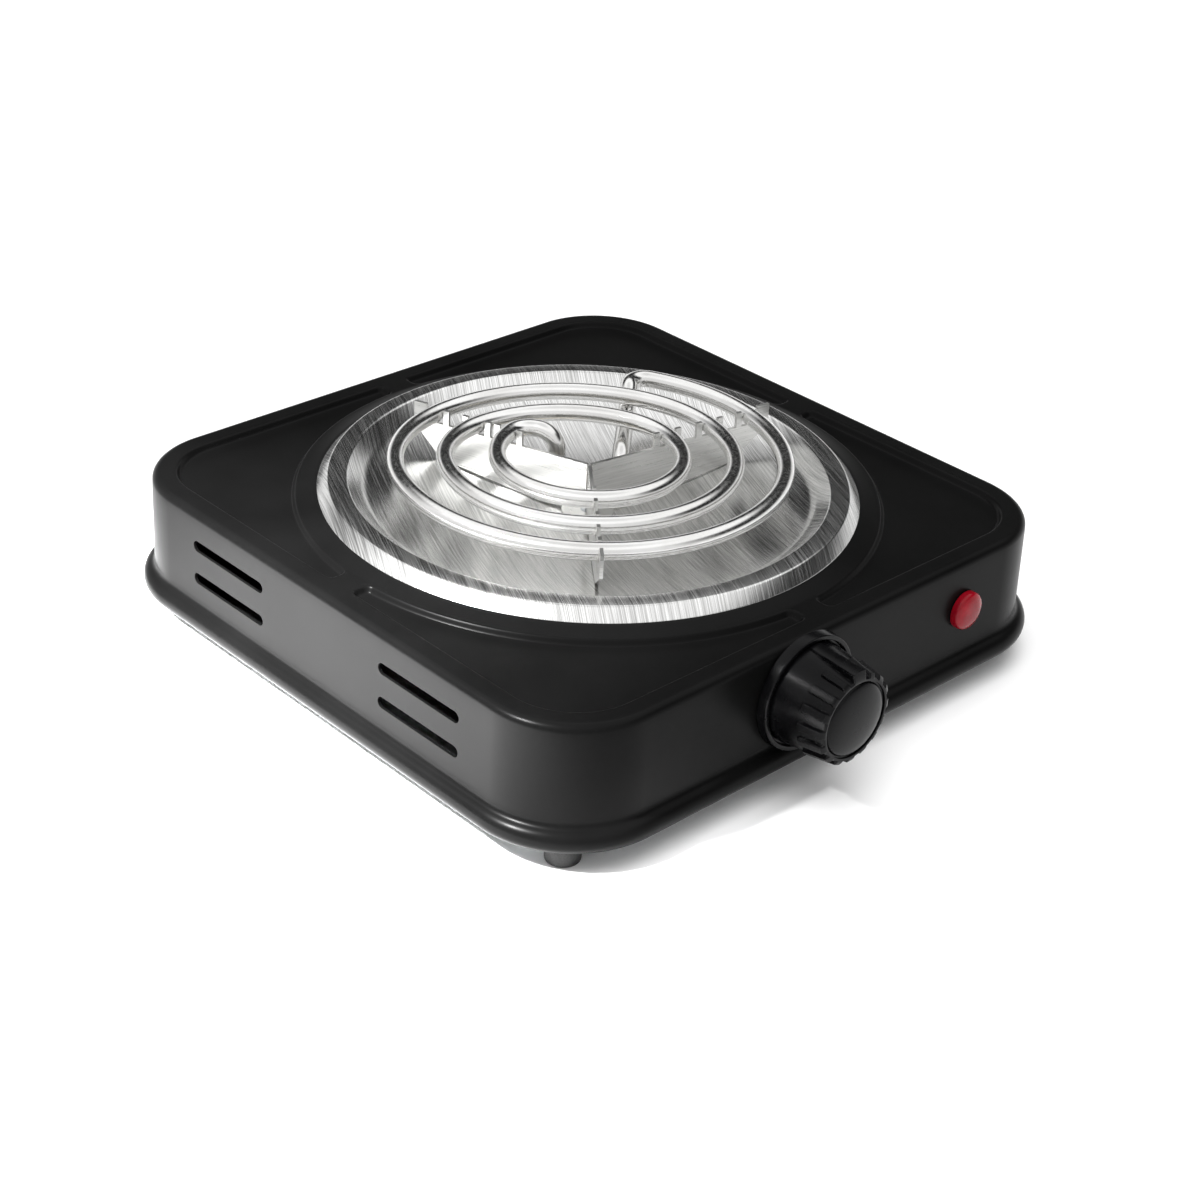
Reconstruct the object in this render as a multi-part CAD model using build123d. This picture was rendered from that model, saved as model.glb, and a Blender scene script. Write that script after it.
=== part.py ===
from build123d import *
from math import atan2, cos, degrees, radians, sin, sqrt
import os

# Single hot plate burner, millimetres. +Z is up and z = 0 is the plane the rubber feet stand on.
# The front, with the knob and the lamp, faces -Y. The functions work about the burner's axis, and
# the pieces are saved moved along Y, so that the origin lies midway between front and rear.

# Housing: one pressed steel shell with a round hole on top and a rolled bead at its foot
rim_z = 51.0            # flat top of the housing
top_half = 115.0        # half the width across the flat sides, at the top edge
corner_r = 32.0
top_fillet = 2.7
wall_draft = 1.0        # degrees
sheet = 1.0
bead_z = 7.5            # underside of the bead
bead_height = 8.2
bead_out = 4.6          # how far the bead stands out past the top edge
burner_hole_r = 85.0

# Shallow pockets pressed into the four corners of the top
pocket_inset = 8.0      # flat rim left outside the pockets
pocket_ring_r = 99.3    # edge of the raised ring around the burner
pocket_bridge = 9.0     # raised bridge left at the middle of each side
pocket_depth = 1.8
pocket_slope = 1.3      # how far the pocket's walls lean in

# Ventilation slots in the two side walls
slot_length = 38.5
slot_height = 4.0
slot_from_middle = 30.2
slot_depths = (12.3, 24.5)

# Drip pan: one stainless pressing, given as radius and height above the housing's top
pan_skirt_r = 92.5
pan_crest_r = 88.6
pan_land_r = 82.4
pan_wall_foot_r = 76.4
pan_skirt_h = 1.4
pan_crest_h = 5.3
pan_land_h = 5.6
pan_wall_foot_h = -0.6
pan_centre_h = -10.0
pan_sheet = 0.8

# Heating coil: three turns of sheathed tube with both ends bent down through the pan
tube_r = 3.1
coil_h = 12.4           # tube centre above the housing's top
turn_radii = (66.5, 49.4, 31.6)
step_from = (156.0, 148.0)      # degrees, where a turn starts to step in
step_to = (28.0, 24.0)          # degrees, where it has reached the next radius
outer_end = 28.0        # degrees, where the outer turn starts
inner_end = 108.0       # degrees, where the inner turn stops
hook_r = 8.0
hook_turn = 80.0
corner_bend_r = 6.0
dip_bend_r = 5.0
dip_h = 4.0             # height of the outer leg where it runs under the turns
down_bend_r = 7.0
outer_leg_r = 20.5      # where the outer leg goes down, from the axis
outer_leg_angle = 15.0
leg_end_h = -17.0
pin_r = 1.2
pin_length = 9.0

# Coil support: three steel blades standing on a hub plate
blade_angles = {"front": -130.0, "right": -10.0, "left": 110.0}
blade_sheet = 1.2
blade_foot_r = 58.0
blade_foot_gap = 0.3
tube_gap = 0.25
ear_width = 2.2
ear_top_h = 14.6
end_ear_width = 5.0
end_ear_top_h = 15.4
hub_r = 9.0
hub_sheet = 1.6
hub_lift = 0.2          # the flat hub plate bridges the dished floor

# Centre bolt that ties the support, pan, housing and base together
bolt_r = 2.5
bolt_gap = 0.3
bolt_head_r = 4.5
bolt_head_height = 2.4
washer_r = 7.0
washer_sheet = 1.0

# Ceramic bushings that carry the coil's legs through the pan
bushing_r = 6.0
bushing_collar_r = 8.0
bushing_collar = 2.0
bushing_length = 9.0
bushing_gap = 0.2

# Base plate, its screws and the rubber feet
plate_sheet = 1.2
plate_recess = 1.3      # the plate lies this far up inside the bead
plate_gap = 0.5
tab_width = 18.0
tab_reach = 14.0
tab_hole_from_wall = 8.0
screw_r = 1.9
screw_gap = 0.25
screw_head_r = 3.5
screw_head_height = 1.8
vent_count = 5
vent_length = 34.0
vent_width = 4.0
vent_pitch = 12.0
vent_from_middle = 66.0
foot_at = 101.0
foot_r = 6.0
foot_tip_r = 5.6
foot_recess_r = 3.7
foot_recess = 3.4

# Control: knob, bezel and thermostat on one axis through the front wall
knob_x = -15.5
knob_drop = 17.8        # axis below the housing's top
knob_base_r = 17.6
knob_end_r = 14.4
knob_face_r = 12.8
knob_length = 22.5
knob_rib_count = 16
knob_rib_length = 9.0
knob_rib_height = 1.2
knob_rib_width = 3.0
pointer_width = 5.0
pointer_height = 2.6
knob_wall = 2.0
knob_boss_r = 6.0
bezel_height = 3.6
bezel_wall = 1.6
bezel_lip = 2.0
bezel_gap = 0.6         # knob to bezel, all round
bezel_hole_r = 8.0
shaft_r = 3.0
shaft_gap = 0.05
shaft_in_knob = 12.0
bush_r = 5.0
bush_length = 9.0
nut_flat = 13.0
nut_height = 2.6
stat_width = 32.0
stat_height = 24.0
stat_depth = 16.0
stat_base = 6.0
bimetal_width = 9.0
bimetal_sheet = 0.8

# Pilot lamp in the front wall
lamp_x = 63.8
lamp_drop = 18.2
lens_r = 6.8
lens_out = 4.0
lens_dome = 1.6
lamp_neck_r = 4.6
lamp_body_length = 22.0
lamp_clip_r = 7.4
lamp_clip_sheet = 0.8
neon_r = 2.2
neon_length = 11.0

# Mains inlet in the rear wall
inlet_x = 62.0
inlet_drop = 26.0
inlet_bore_r = 3.8
inlet_neck_r = 5.6
inlet_flange_r = 8.0
inlet_flange = 2.2
inlet_out = 5.0
clamp_length = 24.0
clamp_width = 9.0
clamp_sheet = 1.5

# Terminal block and leads
block_length = 36.0
block_width = 16.0
block_height = 14.0
block_from_rear = 34.0
block_poles = 3
pole_r = 2.2
lead_r = 1.1
lead_bend = 6.0
spade_length = 12.0
spade_width = 6.3
spade_sheet = 0.8

eps = 0.01
wall_margin = 8.0       # how far the cutters reach each side of a wall
plate_z = bead_z + plate_recess
plate_top = plate_z + plate_sheet
bead_half = top_half + bead_out
knob_z = rim_z - knob_drop
lamp_z = rim_z - lamp_drop
inlet_z = rim_z - inlet_drop
pan_bottom_z = rim_z + pan_centre_h
hub_z = pan_bottom_z + hub_lift
hub_top = hub_z + hub_sheet
wall_slope = sin(radians(wall_draft))


def wall_half(z):
    """Half width of the housing at height z."""
    return top_half + (rim_z - z) * wall_slope


def plan(half, radius):
    return RectangleRounded(2 * half, 2 * half, radius)


def block(x0, x1, y0, y1, z0, z1):
    return Pos((x0 + x1) / 2, (y0 + y1) / 2, (z0 + z1) / 2) * Box(x1 - x0, y1 - y0, z1 - z0)


def rod(radius, z0, z1, x=0.0, y=0.0):
    return Pos(x, y, (z0 + z1) / 2) * Cylinder(radius, z1 - z0)


def front_rod(radius, y0, y1, x, z):
    """Cylinder along Y between y0 and y1."""
    return Pos(x, (y0 + y1) / 2, z) * Rot(90, 0, 0) * Cylinder(radius, y1 - y0)


def turned(points):
    """Solid turned about Z from an outline of (radius, height) points."""
    outline = Polyline(*[(r, 0, z) for r, z in points], close=True)
    return revolve(make_face(outline), Axis.Z)


def polar(radius, angle):
    return radius * cos(radians(angle)), radius * sin(radians(angle))


# Housing ------------------------------------------------------------------

def pocket():
    """One corner pocket, at +X +Y: floor face and mouth face lofted into a sloped-wall cutter."""
    def outline(grow, z):
        outer = plan(top_half - pocket_inset + grow, corner_r - pocket_inset + grow)
        ring = Circle(pocket_ring_r - grow)
        corner = Pos(150, 150) * Rectangle(300 - pocket_bridge + 2 * grow, 300 - pocket_bridge + 2 * grow)
        return Pos(0, 0, z) * ((outer - ring) & corner)

    floor = outline(-pocket_slope, rim_z - pocket_depth)
    tool = extrude(floor, pocket_depth + 1, taper=0)
    rim = outline(0, rim_z)
    slope = loft([floor.face(), rim.face()])
    return tool + slope


def housing():
    drop = rim_z - bead_z - bead_height / 2
    shell = extrude(Pos(0, 0, rim_z) * plan(top_half, corner_r), -drop, taper=-wall_draft)
    shell = fillet(shell.edges().group_by(Axis.Z)[-1], top_fillet)
    bead = Pos(0, 0, bead_z) * extrude(plan(bead_half, corner_r + bead_out), bead_height)
    roll = bead_height / 2 - 0.15
    bead = fillet(bead.edges().filter_by(GeomType.LINE).filter_by(Axis.Z, reverse=True)
                  + bead.edges().filter_by(GeomType.CIRCLE), roll)
    hollow = extrude(Pos(0, 0, rim_z - sheet) * plan(top_half - sheet, corner_r - sheet),
                     bead_z - 1 - rim_z + sheet, taper=-wall_draft)
    hollow = fillet(hollow.edges().group_by(Axis.Z)[-1], top_fillet - sheet)
    body = shell + bead - hollow - rod(burner_hole_r, rim_z - 5, rim_z + 5)
    tray = pocket()
    backing = Pos(0, 0, -sheet) * tray
    for turn in range(4):
        body = body + (Rot(0, 0, 90 * turn) * backing & block(-top_half + 2, top_half - 2, -top_half + 2,
                       top_half - 2, rim_z - sheet - pocket_depth, rim_z - eps))
    for turn in range(4):
        body = body - Rot(0, 0, 90 * turn) * tray
    body = body - side_slots() - front_holes() - rear_hole()
    for turn in range(4):
        body = body + Rot(0, 0, 90 * turn) * base_tab()
    return body


def side_slots():
    """Two pairs of slots in each side wall."""
    cutter = None
    for side in (-1, 1):
        for depth in slot_depths:
            for end in (-1, 1):
                middle = end * (slot_from_middle + slot_length / 2)
                slot = SlotOverall(slot_length, slot_height)
                tool = extrude(Plane(origin=(side * (top_half - 6), middle, rim_z - depth),
                                     x_dir=(0, 1, 0), z_dir=(side, 0, 0)) * slot, 12)
                cutter = tool if cutter is None else cutter + tool
    return cutter


def front_holes():
    """Holes through the front wall for the thermostat's bush and the lamp's neck."""
    y0, y1 = front_y - wall_margin, front_y + wall_margin
    knob_hole = front_rod(bush_r + 0.2, y0, y1, knob_x, knob_z)
    lamp_hole = front_rod(lamp_neck_r + 0.2, y0, y1, lamp_x, lamp_z)
    return knob_hole + lamp_hole


def rear_hole():
    """Hole through the rear wall for the inlet grommet's neck."""
    return front_rod(inlet_neck_r + 0.15, rear_y - wall_margin, rear_y + wall_margin, inlet_x, inlet_z)


def base_tab():
    """Inward tab on the +X wall that a base screw bites into."""
    reach = wall_half(plate_top)
    tab = block(reach - tab_reach, reach - sheet / 2, -tab_width / 2, tab_width / 2,
                plate_top, plate_top + sheet)
    riser = block(reach - sheet, reach - sheet / 2, -tab_width / 2, tab_width / 2,
                  plate_top, bead_z + bead_height + 1)
    hole = rod(screw_r, plate_top - 1, plate_top + sheet + 1, reach - tab_hole_from_wall)
    return tab + riser - hole


# Base -----------------------------------------------------------------------

def base_plate():
    half = wall_half(plate_top) - sheet - plate_gap
    plate = Pos(0, 0, plate_z) * extrude(plan(half, half - top_half + corner_r), plate_sheet)
    for x, y in tab_screws():
        plate = plate - rod(screw_r + screw_gap, plate_z - 1, plate_top + 1, x, y)
    for x, y in foot_places():
        plate = plate - rod(screw_r + screw_gap, plate_z - 1, plate_top + 1, x, y)
    plate = plate - rod(bolt_r + bolt_gap, plate_z - 1, plate_top + 1)
    for side in (-1, 1):
        for i in range(vent_count):
            y = (i - (vent_count - 1) / 2) * vent_pitch
            vent = extrude(Pos(side * vent_from_middle, y, plate_z - 1)
                           * SlotOverall(vent_length, vent_width), plate_sheet + 2)
            plate = plate - vent
    return plate


def tab_screws():
    reach = wall_half(plate_top) - tab_hole_from_wall
    return [(reach, 0), (0, reach), (-reach, 0), (0, -reach)]


def foot_places():
    return [(sx * foot_at, sy * foot_at) for sx, sy in ((-1, -1), (1, -1), (1, 1), (-1, 1))]


def screw(head_z, tip_z, x, y):
    """Pan-head screw driven upwards, the head's underside at head_z."""
    head = rod(screw_head_r, head_z - screw_head_height, head_z, x, y)
    head = fillet(head.edges().group_by(Axis.Z)[0], screw_head_height * 0.45)
    drive = Pos(x, y, head_z - screw_head_height) * (Box(4, 0.9, 1.6) + Box(0.9, 4, 1.6))
    return head + rod(screw_r, head_z, tip_z, x, y) - drive


def base_screws():
    return Compound([screw(plate_z, plate_top + sheet + 3, x, y).solid() for x, y in tab_screws()])


def foot(x, y):
    body = turned([(0, 0), (foot_tip_r, 0), (foot_r, plate_z), (0, plate_z)])
    body = fillet(body.edges().group_by(Axis.Z)[0], 0.5)
    body = body - rod(foot_recess_r, -1, foot_recess) - rod(screw_r + screw_gap, -1, plate_z + 1)
    return Pos(x, y, 0) * body


def foot_screws():
    return Compound([screw(foot_recess, plate_top + 4.4, x, y).solid() for x, y in foot_places()])


def foot_nuts():
    nuts = []
    for x, y in foot_places():
        nut = Pos(x, y, plate_top) * extrude(RegularPolygon(3.6, 6), 2.8)
        nuts.append((nut - rod(screw_r, plate_top - 1, plate_top + 4, x, y)).solid())
    return Compound(nuts)


# Drip pan -------------------------------------------------------------------

def dish_h(radius):
    """Height of the dished floor above the housing's top, on a sphere through foot and centre."""
    return pan_centre_h + (pan_wall_foot_h - pan_centre_h) * (radius / pan_wall_foot_r) ** 2


def drip_pan():
    outer = [(pan_skirt_r, 0.0), (pan_skirt_r, pan_skirt_h), (pan_crest_r, pan_crest_h),
             (pan_land_r, pan_land_h), (pan_wall_foot_r, pan_wall_foot_h)]
    t = pan_sheet
    under = [(pan_wall_foot_r + 0.4, pan_wall_foot_h - t), (pan_land_r + 0.6, pan_land_h - t),
             (pan_crest_r - 0.4, pan_crest_h - t), (pan_skirt_r - t, pan_skirt_h - 0.4),
             (pan_skirt_r - t, 0.0)]
    mid = pan_wall_foot_r / 2
    top_line = Polyline(*[(r, 0, rim_z + h) for r, h in outer])
    top_dish = ThreePointArc((pan_wall_foot_r, 0, rim_z + pan_wall_foot_h),
                             (mid, 0, rim_z + dish_h(mid)), (0, 0, pan_bottom_z))
    axis_line = Line((0, 0, pan_bottom_z), (0, 0, pan_bottom_z - t))
    low_dish = ThreePointArc((0, 0, pan_bottom_z - t), (mid, 0, rim_z + dish_h(mid) - t),
                             (under[0][0], 0, rim_z + under[0][1]))
    low_line = Polyline(*[(r, 0, rim_z + h) for r, h in under])
    close = Line((under[-1][0], 0, rim_z), (outer[0][0], 0, rim_z))
    section = make_face([top_line, top_dish, axis_line, low_dish, low_line, close])
    pan = revolve(section, Axis.Z)
    pan = pan - rod(bolt_r + bolt_gap, pan_bottom_z - 5, pan_bottom_z + 5)
    for x, y in leg_places():
        pan = pan - rod(bushing_r + bushing_gap, pan_bottom_z - 5, rim_z, x, y)
    return pan


# Heating coil ---------------------------------------------------------------

def turn_arc(radius, centre, start, stop, z):
    """Arc about centre from start to stop degrees; angles fall along the coil."""
    def at(angle):
        return centre[0] + radius * cos(radians(angle)), centre[1] + radius * sin(radians(angle)), z
    return ThreePointArc(at(start), at((start + stop) / 2), at(stop))


def step_arcs(i):
    """The two tangent arcs, as centre and radius, that take turn i in to the next turn's radius."""
    half = (step_from[i] - step_to[i]) / 2
    shift = (turn_radii[i] - turn_radii[i + 1]) / (2 * (1 - cos(radians(half))))
    first = (polar(shift, step_from[i]), turn_radii[i] - shift)
    second = (polar(-shift, step_to[i]), turn_radii[i + 1] + shift)
    return first, second


def step_in(i, z):
    (c1, r1), (c2, r2) = step_arcs(i)
    middle = (step_from[i] + step_to[i]) / 2
    return [turn_arc(r1, c1, step_from[i], middle, z), turn_arc(r2, c2, middle, step_to[i], z)]


def leg_places():
    """Where the two legs go down: the inner leg, then the outer leg."""
    return [inner_hook()[1], polar(outer_leg_r, outer_leg_angle)]


def inner_hook():
    """Hook at the inner end: its arc's centre and the point where the leg goes down."""
    heading = inner_end - 90
    px, py = polar(turn_radii[2], inner_end)
    cx = px + hook_r * sin(radians(heading))
    cy = py - hook_r * cos(radians(heading))
    out = heading - hook_turn
    ex = cx - hook_r * sin(radians(out))
    ey = cy + hook_r * cos(radians(out))
    down = (ex + down_bend_r * cos(radians(out)), ey + down_bend_r * sin(radians(out)))
    return (cx, cy), down, (ex, ey), out


def inner_leg(z):
    (cx, cy), (dx, dy), (ex, ey), out = inner_hook()
    heading = inner_end - 90
    hook = turn_arc(hook_r, (cx, cy), heading + 90, out + 90, z)
    bend = down_bend(ex, ey, out, z)
    leg = Line((dx, dy, z - down_bend_r), (dx, dy, rim_z + leg_end_h))
    return [hook, bend, leg]


def down_bend(x, y, heading, z):
    """Quarter bend from level, moving along heading, to straight down."""
    ux, uy = cos(radians(heading)), sin(radians(heading))
    s = down_bend_r * sin(radians(45))
    c = down_bend_r * (1 - cos(radians(45)))
    return ThreePointArc((x, y, z), (x + ux * s, y + uy * s, z - c),
                         (x + ux * down_bend_r, y + uy * down_bend_r, z - down_bend_r))


def outer_leg(z):
    """Corner bend, dip under the turns, level run and the bend down, from the pan end up to the coil."""
    px, py = polar(turn_radii[0], outer_end)
    cx, cy = polar(turn_radii[0] - corner_bend_r, outer_end)
    tx, ty = polar(outer_leg_r, outer_leg_angle)
    gap = sqrt((tx - cx) ** 2 + (ty - cy) ** 2)
    run = sqrt(gap ** 2 - corner_bend_r ** 2)
    touch = degrees(atan2(ty - cy, tx - cx) - atan2(run, corner_bend_r)) % 360
    ex, ey = cx + corner_bend_r * cos(radians(touch)), cy + corner_bend_r * sin(radians(touch))
    way = touch + 90
    ux, uy = cos(radians(way)), sin(radians(way))
    drop = coil_h - dip_h
    dip_angle = degrees(atan2(sqrt(dip_bend_r ** 2 - (dip_bend_r - drop / 2) ** 2), dip_bend_r - drop / 2))
    reach = dip_bend_r * sin(radians(dip_angle))
    half_reach = dip_bend_r * sin(radians(dip_angle / 2))
    half_drop = dip_bend_r * (1 - cos(radians(dip_angle / 2)))

    def at(along, height):
        return ex + ux * along, ey + uy * along, height

    low = z - drop
    corner = turn_arc(corner_bend_r, (cx, cy), outer_end, touch, z)
    dip_in = ThreePointArc(at(0, z), at(half_reach, z - half_drop), at(reach, z - drop / 2))
    dip_out = ThreePointArc(at(reach, z - drop / 2), at(2 * reach - half_reach, low + half_drop),
                            at(2 * reach, low))
    level = Line(at(2 * reach, low), at(run - down_bend_r, low))
    bend_x, bend_y, _ = at(run - down_bend_r, low)
    bend = down_bend(bend_x, bend_y, way, low)
    leg = Line((tx, ty, low - down_bend_r), (tx, ty, rim_z + leg_end_h))
    return [leg, bend, level, dip_out, dip_in, corner]


def coil_paths():
    """The coil's path, cut where one turn has reached the next one's radius: one list for each turn."""
    z = rim_z + coil_h
    centre = (0.0, 0.0)
    paths = []
    path = outer_leg(z)
    start = outer_end
    for i in range(len(step_to)):
        path.append(turn_arc(turn_radii[i], centre, start, step_from[i] - 360, z))
        paths.append(path + step_in(i, z))
        path = []
        start = step_to[i]
    path.append(turn_arc(turn_radii[-1], centre, start, inner_end - 360, z))
    paths.append(path + inner_leg(z))
    return paths


def tube_along(edges, radius):
    """Round bar along a chain of straight runs and arcs, swept one stretch at a time."""
    bar = None
    for edge in edges:
        start = edge @ 0
        section = Plane(origin=start, z_dir=edge % 0) * Circle(radius)
        piece = sweep(section, path=edge)
        bar = piece if bar is None else bar + piece
    return bar


def coil_pins():
    end = rim_z + leg_end_h
    return Compound([rod(pin_r, end - pin_length, end, x, y).solid() for x, y in leg_places()])


def bushings():
    parts = []
    for x, y in leg_places():
        top = rim_z + dish_h(sqrt(x * x + y * y)) - pan_sheet - 0.8
        body = rod(bushing_collar_r, top - bushing_collar, top, x, y)
        body = body + rod(bushing_r, top - bushing_length, top + 3.2, x, y)
        parts.append((body - rod(tube_r + bushing_gap, top - 20, top + 20, x, y)).solid())
    return Compound(parts)


# Coil support ---------------------------------------------------------------

def turn_crossings(angle):
    """Radii at which the turns pass over a blade that points along angle."""
    ux, uy = polar(1, angle)
    radii = []
    for i in range(len(step_to)):
        if not step_to[i] < angle % 360 < step_from[i]:
            radii.append(turn_radii[i])
            continue
        reach = []
        for (cx, cy), r in step_arcs(i):
            reach.append(cx * ux + cy * uy + sqrt(r ** 2 - (cx * uy - cy * ux) ** 2))
        (c1x, c1y), r1 = step_arcs(i)[0]
        mx, my = polar(r1, (step_from[i] + step_to[i]) / 2)
        before = ux * (c1y + my) - uy * (c1x + mx) < 0
        radii.append(reach[0] if before else reach[1])
    return radii + [turn_radii[-1]]


def blade(angle):
    """Upright blade with a saddle for each turn and an ear on both sides of it."""
    crossings = turn_crossings(angle)
    saddle_h = coil_h - tube_r - tube_gap
    start = blade_sheet / 2 / sin(radians(60)) + 0.05
    outer = crossings[0] + tube_r + tube_gap + end_ear_width
    foot_h = dish_h(blade_foot_r) + blade_foot_gap
    points = [(start, hub_top - rim_z), (hub_r + 0.5, hub_top - rim_z),
              (blade_foot_r / 2, dish_h(blade_foot_r / 2) + blade_foot_gap), (blade_foot_r, foot_h),
              (outer, saddle_h - 2), (outer, end_ear_top_h)]
    for i, r in enumerate(crossings):
        reach = tube_r + tube_gap
        top = end_ear_top_h if i == 0 else ear_top_h
        if i > 0:
            points.append((r + reach + ear_width, saddle_h))
            points.append((r + reach + ear_width, top))
        points.append((r + reach, top))
        points.append((r + reach, saddle_h))
        points.append((r - reach, saddle_h))
        points.append((r - reach, ear_top_h))
        points.append((r - reach - ear_width, ear_top_h))
        points.append((r - reach - ear_width, saddle_h))
    points.append((start, saddle_h))
    outline = Polyline(*[(r, 0, rim_z + h) for r, h in points], close=True)
    plate = extrude(make_face(outline), blade_sheet / 2, both=True, dir=(0, 1, 0))
    return Rot(0, 0, angle) * plate


def hub_plate():
    return rod(hub_r, hub_z, hub_top) - rod(bolt_r, hub_z - 1, hub_top + 1)


def centre_bolt():
    low = plate_z - washer_sheet
    head = Pos(0, 0, low - bolt_head_height) * extrude(RegularPolygon(bolt_head_r, 6), bolt_head_height)
    return head + rod(bolt_r, low, hub_top)


def bolt_washer():
    low = plate_z - washer_sheet
    return rod(washer_r, low, plate_z) - rod(bolt_r + bolt_gap, low - 1, plate_z + 1)


def pan_nut():
    """Nut that clamps the pan to the hub plate from below."""
    top = pan_bottom_z - pan_sheet
    nut = Pos(0, 0, top - 4) * extrude(RegularPolygon(bolt_head_r + 0.4, 6), 4)
    return nut - rod(bolt_r, top - 5, top + 1)


# Knob and thermostat -----------------------------------------------------------

front_y = -wall_half(knob_z)
bezel_r = knob_base_r + bezel_gap + bezel_lip
bezel_y = -wall_half(knob_z - bezel_r) - 0.02
knob_y = bezel_y - bezel_wall - bezel_gap      # back edge of the knob


def knob_turned(points):
    """Solid turned about the knob's axis from (radius, distance forward of knob_y) points."""
    body = turned([(r, d) for r, d in points])
    return Pos(knob_x, knob_y, knob_z) * Rot(90, 0, 0) * body


def knob():
    rim = knob_length - 2.6
    body = knob_turned([(0, 0), (knob_base_r, 0), (knob_end_r, rim), (knob_face_r, rim + 0.2),
                        (knob_face_r, rim + 0.9), (knob_face_r * 0.75, knob_length - 0.5), (0, knob_length)])
    inside_r = knob_base_r - knob_wall
    hollow = knob_turned([(knob_boss_r, -1), (inside_r, -1), (inside_r - 2.2, rim - 2.5),
                          (knob_boss_r, rim - 2.5)])
    body = body - hollow
    for i in range(knob_rib_count):
        angle = 360 / knob_rib_count * i
        if abs((angle + 180) % 360 - 180) > 20:
            body = body + knob_rib(angle)
    body = body + pointer()
    bore = front_rod(shaft_r + shaft_gap, knob_y - shaft_in_knob, knob_y + 5, knob_x, knob_z)
    return body - bore


def knob_radius(distance):
    """Outer radius of the knob's side at a distance forward of its back edge."""
    rim = knob_length - 2.6
    return knob_base_r + (knob_end_r - knob_base_r) * distance / rim


def knob_rib(angle):
    """Raised rib on the front part of the knob's side; angle 0 is at the top."""
    d1 = knob_length - 2.8
    d0 = d1 - knob_rib_length
    low = knob_radius(d1) - 1.0
    high0, high1 = knob_radius(d0) + knob_rib_height, knob_radius(d1) + knob_rib_height
    side = Polyline((0, -d0, low), (0, -d0, high0), (0, -d1, high1), (0, -d1, low), close=True)
    rib = extrude(make_face(side), knob_rib_width / 2, both=True, dir=(1, 0, 0))
    return Pos(knob_x, knob_y, knob_z) * Rot(0, angle, 0) * rib


def pointer():
    """Long ridge along the top of the knob that shows the setting."""
    d0, d1 = 1.0, knob_length - 1.4
    low = knob_radius(d1) - 2.2
    high0, high1 = knob_radius(d0) + 0.4, knob_radius(d1) + pointer_height
    side = Polyline((0, -d0, low), (0, -d0, high0), (0, -d1, high1), (0, -d1, low), close=True)
    ridge = extrude(make_face(side), pointer_width / 2, both=True, dir=(1, 0, 0))
    return Pos(knob_x, knob_y, knob_z) * ridge


def knob_bezel():
    """Cup-shaped ring on the front wall that the knob turns in."""
    inner_r = knob_base_r + bezel_gap
    ring = turned([(bezel_hole_r, 0), (bezel_r, 0), (bezel_r - 0.5, bezel_height),
                   (inner_r, bezel_height), (inner_r, bezel_wall), (bezel_hole_r, bezel_wall)])
    ring = Pos(knob_x, bezel_y, knob_z) * Rot(90, 0, 0) * ring
    bead_top = bead_z + bead_height + 0.2
    return ring - block(knob_x - 30, knob_x + 30, bezel_y - 10, bezel_y + 10, 0, bead_top)


def inner_wall_y():
    return front_y + sheet + 0.6


def thermostat_shaft():
    back = inner_wall_y() + bush_length
    return front_rod(shaft_r, knob_y - shaft_in_knob, back, knob_x, knob_z)


def thermostat_bush():
    """Threaded bush that carries the shaft and holds the thermostat in the wall."""
    y0 = bezel_y - bezel_wall + 0.4
    y1 = inner_wall_y() + nut_height
    bush = front_rod(bush_r, y0, y1, knob_x, knob_z)
    return bush - front_rod(shaft_r + shaft_gap, y0 - 1, y1 + 1, knob_x, knob_z)


def thermostat_nut():
    y0 = inner_wall_y()
    nut = extrude(RegularPolygon(nut_flat / 2, 6, major_radius=False), nut_height)
    nut = Pos(knob_x, y0 + nut_height, knob_z) * Rot(90, 0, 0) * nut
    return nut - front_rod(bush_r, y0 - 1, y0 + nut_height + 1, knob_x, knob_z)


def thermostat_frame():
    """Steel frame behind the wall, bent over the ceramic base."""
    y0 = inner_wall_y() + nut_height
    half = stat_width / 2
    plate = block(knob_x - half, knob_x + half, y0, y0 + 1.5, knob_z - 9, knob_z + 9)
    arms = block(knob_x - half, knob_x - half + 1.5, y0, y0 + stat_depth, knob_z - 9, knob_z + 9)
    arms = arms + block(knob_x + half - 1.5, knob_x + half, y0, y0 + stat_depth, knob_z - 9, knob_z + 9)
    return plate + arms - front_rod(shaft_r + 0.6, y0 - 1, y0 + 3, knob_x, knob_z)


def thermostat_base():
    y0 = inner_wall_y() + nut_height + stat_depth
    half = stat_width / 2
    return block(knob_x - half, knob_x + half, y0, y0 + stat_base,
                 knob_z - stat_height / 2, knob_z + stat_height / 2)


def bimetal_strip():
    """Bimetal blade that stands on the ceramic base, beside the shaft's end."""
    y1 = inner_wall_y() + nut_height + stat_depth
    x0 = knob_x + shaft_r + 3.0
    return block(x0, x0 + bimetal_sheet, y1 - 9, y1, knob_z - bimetal_width / 2, knob_z + bimetal_width / 2)


def contact_arm():
    y1 = inner_wall_y() + nut_height + stat_depth
    x0 = knob_x - shaft_r - 4.0
    arm = block(x0, x0 + bimetal_sheet, y1 - 9, y1, knob_z - bimetal_width / 2, knob_z + bimetal_width / 2)
    contact = Pos(x0 + bimetal_sheet + 0.6, y1 - 7, knob_z) * Rot(0, 90, 0) * Cylinder(1.8, 1.2)
    return arm + contact


def spade_places():
    """Centres of the thermostat's two spade terminals."""
    y = inner_wall_y() + nut_height + stat_depth + stat_base
    return [(knob_x - 9, y), (knob_x + 9, y)]


def thermostat_spades():
    tabs = []
    for x, y in spade_places():
        tabs.append(block(x - spade_sheet / 2, x + spade_sheet / 2, y, y + spade_length,
                          knob_z - spade_width / 2, knob_z + spade_width / 2).solid())
    return Compound(tabs)


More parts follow.
